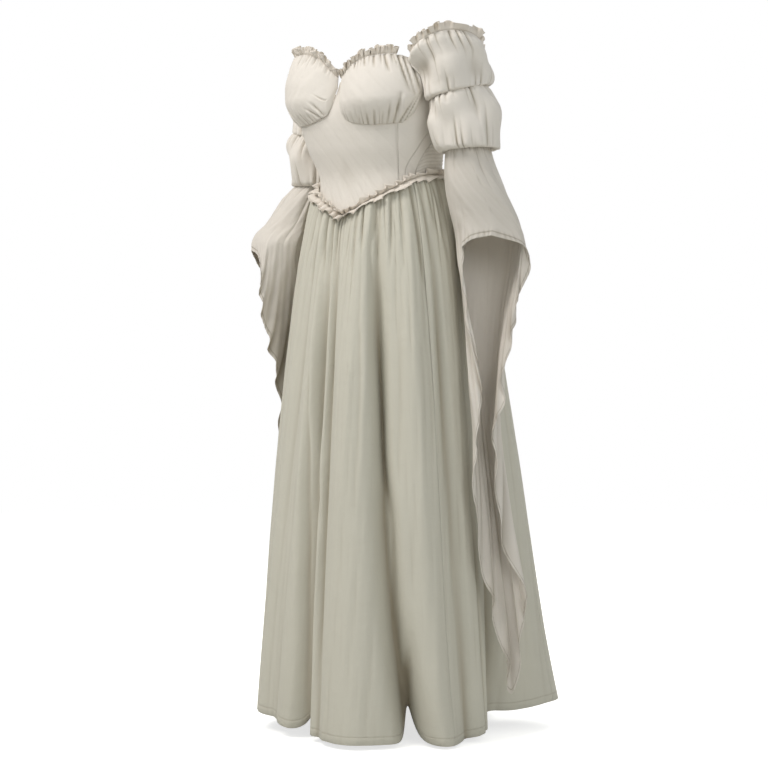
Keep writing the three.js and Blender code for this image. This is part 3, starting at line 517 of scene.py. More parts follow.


# Ivory cotton: two close colours mixed by slow patches and slubs, darker thread holes along the
# stitching, painted shade in creases, and one height in metres from weave, slubs, handling creases and stitch
# channels
def makeCotton(name, look):
    material = bpy.data.materials.new(name)
    material.use_nodes = True
    tree = material.node_tree
    shader = tree.nodes["Principled BSDF"]
    shader.inputs["Roughness"].default_value = look["roughness"]
    shader.inputs["Specular IOR Level"].default_value = 0.25
    shader.inputs["Sheen Weight"].default_value = look["sheen"]
    shader.inputs["Sheen Roughness"].default_value = 0.45
    creaseShadeReader = tree.nodes.new("ShaderNodeAttribute")
    creaseShadeReader.attribute_name = "fold"
    uv = tree.nodes.new("ShaderNodeUVMap")
    uv.uv_map = "clothUV"
    place = tree.nodes.new("ShaderNodeTexCoord").outputs["Object"]
    weave = tree.nodes.new("ShaderNodeGroup")
    weave.node_tree = weaveGroup
    weave.inputs["Threads"].default_value = look["threads"]
    tree.links.new(uv.outputs[0], weave.inputs["Cloth"])
    handling = tree.nodes.new("ShaderNodeGroup")
    handling.node_tree = handlingGroup
    handling.inputs["Crush"].default_value = look["crush"]
    tree.links.new(uv.outputs[0], handling.inputs["Cloth"])
    tree.links.new(place, handling.inputs["Place"])
    split = tree.nodes.new("ShaderNodeSeparateXYZ")
    tree.links.new(uv.outputs[0], split.inputs[0])
    runs = []
    for label, offset, along in look["stitches"]:
        reader = tree.nodes.new("ShaderNodeAttribute")
        reader.attribute_name = label
        run = tree.nodes.new("ShaderNodeGroup")
        run.node_tree = stitchGroup
        run.inputs["Offset"].default_value = offset
        tree.links.new(reader.outputs["Fac"], run.inputs["Distance"])
        tree.links.new(split.outputs[along], run.inputs["Along"])
        runs.append(run)
    mix = tree.nodes.new("ShaderNodeMix")
    mix.data_type = "RGBA"
    mix.inputs["A"].default_value = (*look["light"], 1)
    mix.inputs["B"].default_value = (*look["dark"], 1)
    tone = mathNode(tree, "MULTIPLY_ADD", weave.outputs["Slub"], 0.5,
                    mathNode(tree, "MULTIPLY", handling.outputs["Tone"], 0.6), clamp=True)
    tree.links.new(tone, mix.inputs["Factor"])
    colour = mix.outputs["Result"]
    height = mathNode(tree, "MULTIPLY", weave.outputs["Height"], look["weaveDeep"])
    height = mathNode(tree, "MULTIPLY_ADD", weave.outputs["Slub"], look["slubDeep"], height)
    height = mathNode(tree, "MULTIPLY_ADD", handling.outputs["Height"], look["crushDeep"], height)
    for run in runs:
        height = mathNode(tree, "MULTIPLY_ADD", run.outputs["Channel"], -0.0005, height)
        height = mathNode(tree, "MULTIPLY_ADD", run.outputs["Stitch"], 0.0004, height)
        seam = tree.nodes.new("ShaderNodeMix")
        seam.data_type = "RGBA"
        channel = mathNode(tree, "MULTIPLY", run.outputs["Channel"], look["channel"])
        tree.links.new(channel, seam.inputs["Factor"])
        tree.links.new(colour, seam.inputs["A"])
        seam.inputs["B"].default_value = (*look["seam"], 1)
        colour = seam.outputs["Result"]
    # Painted shade: the colour is mixed towards a dark brown by the stored crease depth, for the shade that
    # falls in creases
    shaded = tree.nodes.new("ShaderNodeMix")
    shaded.data_type = "RGBA"
    shade = mathNode(tree, "MULTIPLY", creaseShadeReader.outputs["Fac"], look["foldShade"])
    tree.links.new(shade, shaded.inputs["Factor"])
    tree.links.new(colour, shaded.inputs["A"])
    shaded.inputs["B"].default_value = (*look["fold"], 1)
    tree.links.new(shaded.outputs["Result"], shader.inputs["Base Color"])
    relief = tree.nodes.new("ShaderNodeBump")
    relief.inputs["Strength"].default_value = 1.0
    relief.inputs["Distance"].default_value = 1.0
    tree.links.new(height, relief.inputs["Height"])
    tree.links.new(relief.outputs[0], shader.inputs["Normal"])
    through = tree.nodes.new("ShaderNodeBsdfTranslucent")
    tree.links.new(shaded.outputs["Result"], through.inputs["Color"])
    lit = tree.nodes.new("ShaderNodeMixShader")
    lit.inputs[0].default_value = look["glow"]
    tree.links.new(shader.outputs[0], lit.inputs[1])
    tree.links.new(through.outputs[0], lit.inputs[2])
    tree.links.new(lit.outputs[0], tree.nodes["Material Output"].inputs[0])
    print("material", name)
    return material


# The dark brown colour that creases are mixed towards, and foldShade, its strength, are painted shade
cotton = {"light": (0.80, 0.755, 0.685), "dark": (0.73, 0.685, 0.61), "seam": (0.42, 0.37, 0.28),
          "fold": (0.30, 0.25, 0.17), "foldShade": 0.78, "channel": 0.35, "glow": 0.05,
          "roughness": 0.88, "sheen": 0.12, "threads": 1400, "weaveDeep": 0.00006, "slubDeep": 0.00012,
          "crush": 45, "crushDeep": 0.0009, "stitches": []}
hemRun = ("hemDistance", 0.008, 0)
seamRun = ("seamDistance", 0.003, 1)
bodiceCotton = makeCotton("bodiceCotton", {**cotton, "crushDeep": 0.0005, "seam": (0.62, 0.56, 0.48),
                                            "channel": 0.2, "stitches": [seamRun]})
cupCotton = makeCotton("cupCotton", {**cotton, "crushDeep": 0.0006})
# The skirt is the same ivory cotton in darker, greener colours: painted shade for the dimmer light on the skirt
skirtCottonPaintedShade = makeCotton("skirtCottonPaintedShade", {
    **cotton, "light": (0.64, 0.615, 0.52), "dark": (0.56, 0.54, 0.45), "crush": 30, "crushDeep": 0.0012,
    "stitches": [("hemDistance", 0.014, 0)]})
sleeveCotton = makeCotton("sleeveCotton", {
    **cotton, "crush": 30, "crushDeep": 0.0007, "glow": 0.2, "channel": 0.7, "stitches": [hemRun]})
frillCotton = makeCotton("frillCotton", {
    **cotton, "light": (0.80, 0.74, 0.66), "dark": (0.72, 0.66, 0.575), "crush": 60, "crushDeep": 0.0004,
    "foldShade": 0.75,
    "stitches": [("hemDistance", 0.002, 0)]})


bodiceGrid = {"rows": 46, "frontColumns": 130, "sideColumns": 22, "stripColumns": 14, "backColumns": 110}
bodiceForm = {"bandWide": 7, "bandDeep": 0.7, "seamDip": 0.3, "seamWide": 1.5, "bone": 0.3}


# Panel columns run from the waist seam up to the top edge; three passes settle angle against height
def panelGrid(start, end, columns, rows):
    u = np.linspace(0, 1, columns)[:, None]
    v = np.linspace(1, 0, rows)[None, :]
    z = blend(-20, 120, v) + 0 * u
    for _ in range(3):
        deg = blend(start(z), end(z), u)
        z = blend(waistZ(deg), bodiceTop(wrap(deg)) - cloth["seamGap"], v)
    lean = np.where(u == 0, 0.25, np.where(u == 1, -0.25, 0))
    return u, v, deg + np.degrees(lean / torsoRadius(deg, z)), z


# Relief of a flat panel: a dip into each side seam, a band under the cups, faint bones and drag lines
def flatRelief(u, v, deg, z, fromSeam):
    form = bodiceForm
    dip = -form["seamDip"] * bump(fromSeam / form["seamWide"])
    under = bodiceTop(wrap(deg)) - z
    held = 1 / (1 + np.exp((under - form["bandWide"]) * 2))
    band = form["bandDeep"] * np.where(np.abs(wrap(deg)) < 66, held, 0)
    bones = form["bone"] * (bump((np.abs(deg) - 22) / 1.6) + bump((np.abs(deg) - 41) / 1.6))
    drag = 0.7 * uneven(np.radians(deg) * 6 + z * 0.02, 4) * bump((z - waistZ(deg)) / 60)
    drag = drag + 0.5 * uneven(z * 0.06 + np.radians(deg) * 9, 7)
    return dip + band + bones + drag


def makeBodice():
    p, s, b = seams.princess, seams.side, seams.back
    panels = [("bodice_front", lambda z: -p(z), p, "frontColumns"), ("bodice_side_left", p, s, "sideColumns"),
              ("bodice_side_right", lambda z: -s(z), lambda z: -p(z), "sideColumns"),
              ("side_strip_left", s, b, "stripColumns"),
              ("side_strip_right", lambda z: -b(z), lambda z: -s(z), "stripColumns")]
    made = []
    for name, start, end, columns in panels:
        u, v, deg, z = panelGrid(start, end, bodiceGrid[columns], bodiceGrid["rows"])
        arc = torsoRadius(deg, z) * np.radians(np.abs(deg - start(z)))
        back = torsoRadius(deg, z) * np.radians(np.abs(end(z) - deg))
        points = bodicePoint(deg, z, cloth["bodiceWall"] + flatRelief(u, v, deg, z, np.minimum(arc, back)))
        made.append(clothPiece("cloth_" + name, points, 1.2, False, bodiceCotton))
    shirring = {"rows": 26, "puff": 1.5, "puckers": 46}
    u, v, deg, z = panelGrid(b, lambda z: 360 - b(z), bodiceGrid["backColumns"], 4 * shirring["rows"] + 1)
    row = np.floor(v * shirring["rows"] - 1e-6)
    puff = np.abs(np.sin(np.pi * v * shirring["rows"])) ** 0.6
    pucker = 0.6 + 0.4 * np.sin(2 * np.pi * shirring["puckers"] * u + 2.4 * np.sin(1.3 * row) + row)
    points = bodicePoint(deg, z, cloth["bodiceWall"] - 0.3 + shirring["puff"] * puff * pucker)
    made.append(clothPiece("cloth_bodice_back", points, 1.2, False, bodiceCotton))
    return made


cupCreases = [  # side (0 both), degrees and share up at the start and end, depth, half width in mm
    (1, 57.8, 0.0, 61, 0.45, 4.2, 3.4), (1, 62, 0.0, 70.8, 0.32, 4.6, 3.2), (1, 66, 0.0, 75, 0.36, 3.8, 3.0),
    (1, 52, 1.0, 54.5, 0.7, 3.2, 3.0), (1, 61, 1.0, 67.5, 0.38, 4.6, 3.4),
    (1, 64.5, 0.98, 71, 0.25, 4.0, 3.0),
    (1, 69, 1.0, 76, 0.2, 3.6, 3.0), (1, 53, 0.0, 54, 0.3, 3.2, 2.6), (1, 49, 0.0, 49.5, 0.2, 2.6, 2.4),
    (0, 36, 1.0, 37, 0.84, 2.2, 2.4), (0, 44, 1.0, 44, 0.78, 2.4, 2.6), (0, 20, 1.0, 21, 0.84, 2.0, 2.2),
    (0, 27, 1.0, 27, 0.87, 2.0, 2.2), (0, 13, 1.0, 14, 0.86, 1.8, 2.0), (0, 58, 1.0, 61, 0.75, 2.4, 2.4),
    (0, 30, 0.0, 31, 0.13, 2.4, 2.2), (0, 38, 0.0, 38, 0.16, 2.4, 2.2), (0, 43.5, 0.0, 43.5, 0.2, 2.4, 2.2),
    (-1, 14, 0.02, 24, 0.3, 3.2, 3.0), (-1, 19, 0.0, 30, 0.22, 3.0, 2.8), (-1, 10, 0.3, 20, 0.42, 2.6, 3.0),
    (-1, 50, 0.0, 58, 0.3, 3.0, 3.0), (-1, 64, 0.0, 70, 0.35, 3.0, 3.0), (-1, 66, 1.0, 70, 0.5, 3.0, 3.0)]
cupGrid = {"columns": 110, "rows": 64}


# A cup's small gathers: pipes along both seams that fade in a sixth of its height, and placed creases
def cupDetail(side, deg, up, radius):
    turn = np.abs(deg)
    along = (turn - cup["from"]) / (cup["to"] - cup["from"])
    arch = np.sin(np.pi * np.clip(along, 0, 1)) ** 0.6
    low = (pipes(19 * along + 0.5 * uneven(6 * along, 3 + side)) - 0.7) * bump(up / 0.17)
    high = (pipes(21 * along + 0.6 * uneven(5 * along, 6 + side)) - 0.7) * bump((1 - up) / 0.14)
    total = 4.0 * low + 4.2 * high + 1.8 * uneven(7 * along + 3 * up, 5 + side)
    for which, deg0, up0, deg1, up1, deep, wide in cupCreases:
        if which in (0, side):
            share = np.clip((up - up0) / (up1 - up0), 0, 1)
            centre = blend(deg0, deg1, share ** 1.2)
            ends = np.clip((1 - share) / 0.5, 0, 1) ** 0.8 * np.where((up - up0) * (up1 - up0) >= 0, 1, 0)
            across = (turn - centre) * np.radians(1) * radius
            total = total - 1.6 * deep * ends * (bump(across / (wide * blend(0.8, 1.4, share)))
                                           - 0.35 * bump((across - 1.8 * wide) / (1.3 * wide)))
    return arch * total


def cupSurface(side, along, up):
    deg = side * blend(cup["from"], cup["to"], along ** 1.15)
    low, high = cupEdges(deg)
    z = blend(low, high, up)
    radius = torsoRadius(deg, z) + cloth["lap"] + cupRise(deg, up)
    return deg, z, radius


def makeCups():
    made = []
    for name, side in (("left", 1), ("right", -1)):
        along = np.linspace(0, 1, cupGrid["columns"])[:, None]
        up = np.linspace(1, 0, cupGrid["rows"])[None, :]
        deg, z, radius = cupSurface(side, along, up)
        detail = cupDetail(side, deg, up, radius)
        points = polar(deg, radius + cloth["bodiceWall"] + detail, torso.middle(z), z)
        made.append(clothPiece(f"cloth_cup_{name}", points, 1.2, False, cupCotton))
    return made


# A frill on a line of points with directions up and out: pipes of cloth swing out and from side to side,
# more towards the free edge, and their size and place wander along the line
def frillGrid(line, along, up, out, look, closed=False):
    count = len(line)
    s = np.arange(count)[:, None] / (count if closed else count - 1)
    v = np.linspace(1, 0, look["rows"])[None, :]
    wander = look["loose"] * uneven(2 * np.pi * s * look["slow"], look["seed"]) if not closed else \
        look["loose"] * np.sin(2 * np.pi * s * 3 + look["seed"])
    phase = 2 * np.pi * (look["loops"] * s + wander)
    size = 1 + look["mixed"] * np.sin(2 * np.pi * s * round(look["slow"] * 3) + 1.3 * look["seed"])
    fine = 0.1 * np.sin(2.3 * phase + 1.5 * np.sin(0.7 * phase)) * v ** 2
    stand = look["flare"] * v + look["wave"] * size * v ** 0.9 * (0.5 + 0.5 * np.cos(phase + 0.6 * v) + fine)
    swing = look["swing"] * size * v ** 1.1 * np.sin(2 * phase + 0.8)
    curl = 1 - 0.16 * v ** 3 * (0.5 + 0.5 * np.cos(phase + 0.6 * v))
    tall = look["tall"] * v * curl * (1 + 0.16 * np.sin(phase / 3 + 2) - 0.12 * np.cos(phase) * v)
    return (line[:, None] + along[:, None] * swing[..., None] + up[:, None] * tall[..., None]
            + out[:, None] * stand[..., None])


def directions(line, closed):
    along = np.roll(line, -1, 0) - np.roll(line, 1, 0) if closed else np.gradient(line, axis=0)
    return along / np.linalg.norm(along, axis=-1, keepdims=True)


neckFrill = {"tall": 15, "flare": -1.0, "wave": 10.0, "swing": 2.6, "loops": 10.5, "loose": 0.7, "slow": 2.3,
             "mixed": 0.4, "seed": 1.0, "reach": 0.73, "columns": 330, "rows": 9}
backFrill = {"tall": 11.5, "flare": 1.0, "wave": 8.0, "swing": 2.2, "loops": 17, "loose": 0.3, "slow": 3,
             "mixed": 0.25, "seed": 2.0, "from": 114, "columns": 360, "rows": 8}
sleeveFrill = {"tall": 16, "flare": -1.0, "wave": 10.5, "swing": 2.8, "loops": 20, "loose": 0.8, "slow": 3,
               "mixed": 0.4, "seed": 3.0, "columns": 460, "rows": 9}
waistFrill = {"above": 8, "below": 9, "wave": 9.5, "swing": 4.4, "loops": 44, "columns": 900, "rows": 11}


def makeNeckFrills():
    made = []
    for name, side in (("left", 1), ("right", -1)):
        share = np.linspace(0, neckFrill["reach"], neckFrill["columns"])
        deg, z, radius = cupSurface(side, share, np.ones_like(share))
        detail = cupDetail(side, deg, np.ones_like(share), radius)
        line = polar(deg, radius + cloth["bodiceWall"] + 0.3 * detail, torso.middle(z), z + 0.5)
        out = polar(deg, 1.0, 0.0, 0 * deg)
        up = np.zeros_like(line) + np.array([0, 0, 1.0])
        look = {**neckFrill, "seed": 1.0 + 0.7 * side}
        points = frillGrid(line, directions(line, False), up, out, look)
        core = np.stack([0 * points[..., 0], 0 * points[..., 1] - 30, points[..., 2]], -1)
        made.append(clothPiece(f"cloth_neck_frill_{name}", points, 0.9, False, frillCotton, core))
    deg = np.linspace(backFrill["from"], 360 - backFrill["from"], backFrill["columns"])
    line = bodicePoint(deg, bodiceTop(wrap(deg)), cloth["bodiceWall"])
    out = polar(deg, 1.0, 0.0, 0 * deg)
    up = np.zeros_like(line) + np.array([0, 0, 1.0])
    points = frillGrid(line, directions(line, False), up, out, backFrill)
    made.append(clothPiece("cloth_back_frill", points, 0.9, False, frillCotton))
    return made


# The waist trim is sewn down its middle, so that both edges stand away and swing against each other
def makeWaistFrill():
    look = waistFrill
    deg = np.arange(look["columns"])[:, None] * 360 / look["columns"]
    v = np.linspace(0, 1, look["rows"])[None, :]
    turn = wrap(deg)
    free = np.abs(2 * v - 1)
    front = bump(turn / 34)
    phase = 2 * np.pi * (look["loops"] * deg / 360 + 0.28 * np.sin(np.radians(deg) * 5 + 1)
                         + 0.2 * np.sin(np.radians(deg) * 11))
    size = 1 + 0.3 * np.sin(np.radians(deg) * 7 + 2) + 0.35 * front
    edge = np.where(v < 0.5, 0, 1)
    lift = np.where(v < 0.5, look["above"], look["below"]) * (1 - 2 * v)
    drop = lift * (1 + 0.3 * np.sin(np.radians(deg) * 17 + 1 + 2 * edge) - 0.3 * np.cos(phase + 1.9 * edge))
    seam = waistZ(turn)
    z = seam + drop
    t = np.maximum(0, -drop) / (seam - hemZ(turn))
    under = np.maximum(torsoRadius(turn, z) + cloth["bodiceWall"], skirtRadius(turn, t) + cloth["skirtWall"])
    wave = 0.5 + 0.5 * np.cos(phase + 1.9 * edge)
    radius = under + 1.0 + free ** 0.8 * (0.5 + look["wave"] * size * wave)
    swing = np.degrees(look["swing"] * size * free * np.sin(phase + 0.9 + 1.9 * edge) / radius)
    points = polar(turn + swing, radius, torso.middle(z), z)
    return [clothPiece("cloth_waist_frill", points, 0.9, True, frillCotton)]


skirtGrid = {"columns": 560, "rows": 128}
skirtPanels = [
    ("skirt_front", -21, 21), ("skirt_left", 21, 42), ("skirt_back", 42, 70), ("skirt_right", 70, 91)]


def makeSkirt():
    made = []
    t = (np.linspace(0, 1, skirtGrid["rows"]) ** 1.35)[None, :]
    for name, first, last in skirtPanels:
        columns = (last - first) * skirtGrid["columns"] // 112 + 1
        deg = (np.linspace(first, last, columns) * 360 / 112)[:, None]
        lean = np.where(np.arange(columns) == 0, 0.25, np.where(np.arange(columns) == columns - 1, -0.25, 0))
        deg = deg + np.degrees(lean[:, None] / skirtRadius(deg, t))
        points = skirtPoint(deg, t, cloth["skirtWall"])
        made.append(clothPiece("cloth_" + name, points, 1.2, False, skirtCottonPaintedShade))
    return made


upperPuff = smoothTable("v x y z inner outer front back tiltX tiltY", [
    (0, 186, -25, 213, 50, 66, 80, 60, 37, -20), (0.12, 190, -23, 206, 57, 71, 85, 67, 31, -16),
    (0.4, 198, -14, 190, 60, 68, 79, 68, 22, -4), (0.68, 203, -14, 165, 56, 64, 70, 62, 14, 5),
    (0.86, 205, -17, 148, 52, 60, 62, 57, 11, 9), (0.95, 206, -19, 146, 45, 50, 51, 49, 10, 9),
    (1, 206, -19, 153.5, 37, 40, 40, 40, 10, 9)])
lowerPuff = smoothTable("v x y z inner outer front back tiltX tiltY", [
    (0, 206, -19, 152, 37, 40, 40, 40, 10, 9), (0.05, 206, -18, 150, 42, 48, 47, 47, 10, 9),
    (0.16, 208, -15, 138, 50, 59, 58, 58, 9, 7), (0.42, 212, -7, 110, 55, 65, 65, 67, 6, 4),
    (0.68, 215, -3, 76, 55, 62, 68, 64, 2, -2), (0.86, 217, 0, 45, 50, 59, 64, 59, 1, 0),
    (0.95, 218, 1, 40, 44, 50, 52, 50, 3, 2), (1, 218, 1.5, 46.5, 37, 39, 39, 39, 5, 4)])
rightShift = smoothTable("v inward back down", [
    (0, 12, 68, 40), (0.42, 18, 64, 40), (0.7, 22, 56, 40), (1, 26, 46, 40), (1.4, 24, 35, 41),
    (1.7, 30, 34, 41), (2, 32, 28.5, 40)])
puffGrid = {"columns": 200, "rows": 44}
puffForm = {"fine": 38, "fineDeep": 4.6, "large": 13, "largeDeep": 9.0, "soft": 11.0}


def bodyRadius(deg, z):
    side = np.abs(deg)
    low, high = cupEdges(deg)
    up = (z - low) / (high - low)
    rise = np.where((up > -0.3) & (up < 1.4), 2 * cloth["lap"] + cupRise(deg, np.minimum(up, 1)), 0)
    return torsoRadius(deg, z) + np.where(side > 91, 1.1, rise) + cloth["bodiceWall"]


# Cloth that would lie inside the bodice is moved straight out from the bodice's middle to its gap
def clearOfBodice(points, gap):
    x, y, z = points[..., 0], points[..., 1], points[..., 2]
    middle = torso.middle(z)
    deg = np.degrees(np.arctan2(x, middle - y))
    reach = np.hypot(x, y - middle)
    push = np.maximum(1, (bodyRadius(deg, z) + gap) / reach)
    return np.stack([x * push, middle + (y - middle) * push, z], -1)


# An uneven ring at each station of a puff; extra is added to the ring's reach
def ringPoint(table, first, side, turn, v, out, extra):
    c, s = cosD(turn), sinD(turn)
    reachX = np.where(c > 0, table.outer(v), table.inner(v)) + extra + out
    reachY = np.where(s > 0, table.back(v), table.front(v)) + extra + out
    x = table.x(v) + reachX * c
    y = table.y(v) + reachY * s
    z = table.z(v) + table.tiltX(v) * c + table.tiltY(v) * s
    if side < 0:
        far = v + first
        x = rightShift.inward(far) - x
        y = y + rightShift.back(far)
        z = z - rightShift.down(far)
    return np.stack(np.broadcast_arrays(x, y, z), -1)


# Gathers of a puff: fine pipes at both elastics, larger ones that reach a third of the way, soft folds
def puffDetail(turn, v, seed):
    form = puffForm
    angle = np.radians(turn)
    total = 0
    for end, shift in ((v, 0), (1 - v, 4)):
        drift = 0.9 * np.sin(3 * angle + seed + shift) + 0.5 * np.sin(7 * angle + 2 * seed + shift)
        reach = 1 + 0.35 * np.sin(5 * angle + seed + shift)
        pinch = np.clip(end / 0.03, 0.25, 1)
        total = total + pinch * form["fineDeep"] * (pipes(form["fine"] * turn / 360 + drift) - 0.7) \
            * bump(end / (0.2 * reach))
        total = total + pinch * form["largeDeep"] * (pipes(form["large"] * turn / 360 + 0.6 * drift) - 0.7) \
            * bump(end / (0.34 * reach))
    soft = np.sin(3 * angle + 5 * v + seed) + 0.7 * np.sin(5 * angle - 6 * v + 2 * seed)
    return total + form["soft"] * 0.5 * soft * np.sin(np.pi * v)


def makePuffs():
    made = []
    turn = (np.arange(puffGrid["columns"]) * 360 / puffGrid["columns"])[:, None]
    v = 0.5 - 0.5 * np.cos(np.pi * np.linspace(0, 1, puffGrid["rows"]))[None, :]
    v = 0.5 * v + 0.5 * np.linspace(0, 1, puffGrid["rows"])[None, :]
    for name, side in (("left", 1), ("right", -1)):
        for label, table, first, seed in (("upper", upperPuff, 0, 1.0), ("lower", lowerPuff, 1, 4.0)):
            extra = puffDetail(turn, v, seed + 0.8 * side)
            points = ringPoint(table, first, side, turn, v, cloth["sleeveWall"], extra)
            points = clearOfBodice(points, 1.0)
            core = points.mean(0, keepdims=True)
            made.append(clothPiece(f"cloth_{label}_puff_{name}", points, 1.0, True, cupCotton, core))
        deg = np.arange(sleeveFrill["columns"]) * 360 / sleeveFrill["columns"]
        line = ringPoint(upperPuff, 0, side, deg, 0 * deg, cloth["sleeveWall"], 0)
        line[:, 2] -= 0.8
        middle = line.mean(0)
        out = line - middle
        out[:, 2] = 0
        out /= np.linalg.norm(out, axis=-1, keepdims=True)
        up = np.zeros_like(line) + np.array([0, 0, 1.0])
        look = {**sleeveFrill, "seed": 3.0 + side}
        points = frillGrid(line, directions(line, True), up, out, look, True)
        points = clearOfBodice(points, 1.0)
        core = points.mean(0, keepdims=True)
        made.append(clothPiece(f"cloth_sleeve_frill_{name}", points, 0.9, True, frillCotton, core))
    return made


bellForm = {"opens": 42, "bend": 2.2, "swingBend": 5, "topTilt": 6, "columns": 300, "rows": 112}
courseSteps = [-16, -8, 0, 8, 16]
bellGap = {"skirt": 4, "behindFront": 0.07, "front": -110}
gatherCrest = {"deep": 4.8, "fadeBy": 0.2, "startAt": 0.02}
leftLine = [
    (-980, 240, 128, 12), (-700, 205, 146, 25), (-430, 188, 148, 42), (-300, 195, 122, 52),
    (-130, 204, 110, 66), (-40, 179, 135, 56), (12, 167, 142, 46), (44.8, 163, 144.7, 39)]
leftHem = [
    (-180, 206, 177, -120), (-150, 172, 168, -126), (-128, 154, 155, -144), (-112, 154, 150, -212),
    (-95, 168, 160, -312), (-80, 186, 172, -388), (-68, 184, 178, -463), (-56, 172, 176, -530),
    (-48, 179, 172, -620), (-40, 180, 164, -702), (-28, 206, 150, -790), (-18, 214, 139, -850),
    (-8, 236, 129, -921), (0, 246, 120, -980), (7, 264, 126, -918), (15, 262, 135, -850),
    (24, 276, 150, -795), (33, 222, 156, -686), (42, 218, 166, -575), (52, 206, 174, -500),
    (62, 220, 179, -450), (74, 226, 176, -375), (88, 244, 170, -310), (102, 250, 160, -258),
    (118, 262, 152, -220), (134, 280, 150, -178), (156, 268, 164, -140), (180, 206, 177, -120)]
rightLine = [
    (-980, 252, 148, 12), (-700, 232, 152, 25), (-430, 208, 144, 40), (-300, 165, 172, 52),
    (-124, 126, 181, 58), (-75, 142, 154, 47), (-30, 152, 135, 47), (-8, 157, 120, 43), (4.8, 160, 108, 40)]
rightHem = [
    (-180, 100, 246, -132), (-158, 80, 236, -142), (-138, 64, 231, -168), (-118, 52, 232, -212),
    (-100, 56, 226, -275), (-84, 75, 210, -335), (-68, 112, 196, -392), (-56, 152, 189, -470),
    (-46, 178, 184, -560), (-36, 198, 179, -680), (-26, 218, 172, -780), (-17, 226, 163, -850),
    (-8, 244, 154, -921), (0, 254, 146, -980), (7, 262, 150, -918), (15, 248, 155, -850),
    (24, 256, 160, -780), (33, 232, 162, -686), (42, 240, 166, -575), (54, 222, 172, -460),
    (68, 230, 180, -380), (84, 222, 188, -318), (102, 206, 197, -262), (122, 184, 208, -208),
    (146, 154, 227, -164), (180, 100, 246, -132)]


def clearOfSkirt(points, gap):
    x, y, z = points[..., 0], points[..., 1], points[..., 2]
    for _ in range(3):
        rough = np.degrees(np.arctan2(x, -y))
        top = waistZ(rough)
        t = np.clip((top - z) / (top - hemZ(rough)), 0, 1)
        middle = skirtMiddle(rough, t)
        deg = np.degrees(np.arctan2(x, middle - y))
        reach = np.hypot(x, y - middle)
        fade = bump(t / gatherCrest["fadeBy"]) + 0.6 * bump((t - 0.12) / 0.12)
        crest = gatherCrest["deep"] * (0.8 + 0.35 * sinD(5 * wrap(deg) + 115)) * fade
        crest = crest * np.minimum(1, t / gatherCrest["startAt"])
        least = skirtRadius(deg, t) + crest + cloth["skirtWall"] + gap + 5.5 * bump(t / 0.03)
        push = np.maximum(1, least / reach)
        x, y = x * push, middle + (y - middle) * push
    return np.stack([x, y, z], -1)


# A bell is the cone of its line near the elastic, drawn over to the hem's own place further down: the
# two are blended by a power of the share down, and the hem's swing from side to side by a higher one.
# Across and out turn into x and y through the opening
def bellPoint(side, line, edge, topZ, turn, v):
    top = topZ + bellForm["topTilt"] * sinD(turn)
    z = blend(top, edge.z(turn), v)
    pull = v ** bellForm["bend"]
    course = sum(edge.across(wrap(turn + step)) for step in courseSteps) / len(courseSteps)
    across = blend(line.across(z) + line.radius(z) * sinD(turn), course, pull)
    across = across + (edge.across(turn) - course) * v ** bellForm["swingBend"]
    out = blend(line.out(z) - line.radius(z) * cosD(turn), edge.out(turn), pull)
    c, s = cosD(bellForm["opens"]), sinD(bellForm["opens"])
    behind = np.maximum(0, -bellGap["front"] - np.abs(turn - bellGap["front"]))
    points = np.stack(np.broadcast_arrays(side * (across * c + out * s), across * s - out * c, z), -1)
    return clearOfSkirt(points, bellGap["skirt"] + bellGap["behindFront"] * behind + 0 * z)


bellRelief = {"fineDeep": 3.0, "largeDeep": 5.0, "soft": 2.2, "wideWave": 5.0, "narrowWave": 2.6}


# Relief of a bell: pipes at the elastic, soft folds down its length, a wavy and puckered hem
def bellDetail(turn, v, fromHem, along, seed):
    form = bellRelief
    angle = np.radians(turn)
    drift = 0.4 * np.sin(3 * angle + seed) + 0.25 * np.sin(5 * angle + 2 * seed)
    reach = 1 + 0.5 * np.sin(4 * angle + seed)
    total = form["fineDeep"] * (pipes(30 * turn / 360 + drift) - 0.7) * bump(v / (0.06 * reach))
    large = form["largeDeep"] * (pipes(9 * turn / 360 + 0.8 * drift) - 0.7)
    total = total + large * bump(v / (0.26 * reach))
    total = total * np.clip(v / 0.004, 0.3, 1)
    soft = form["soft"] * uneven(3 * angle + 4 * v, seed) * np.clip(v / 0.2, 0, 1)
    wide = form["wideWave"] * np.sin(22 * angle + 5 * v + seed)
    narrow = form["narrowWave"] * np.sin(37 * angle - 3 * v)
    soft = soft + (wide + narrow) * v ** 3 * np.clip((150 - np.abs(turn)) / 60, 0, 1)
    pucker = 0.9 * np.sin(along / 1.5 + 1.5 * np.sin(along / 11)) * bump((fromHem - 6) / 7)
    return total + soft + pucker


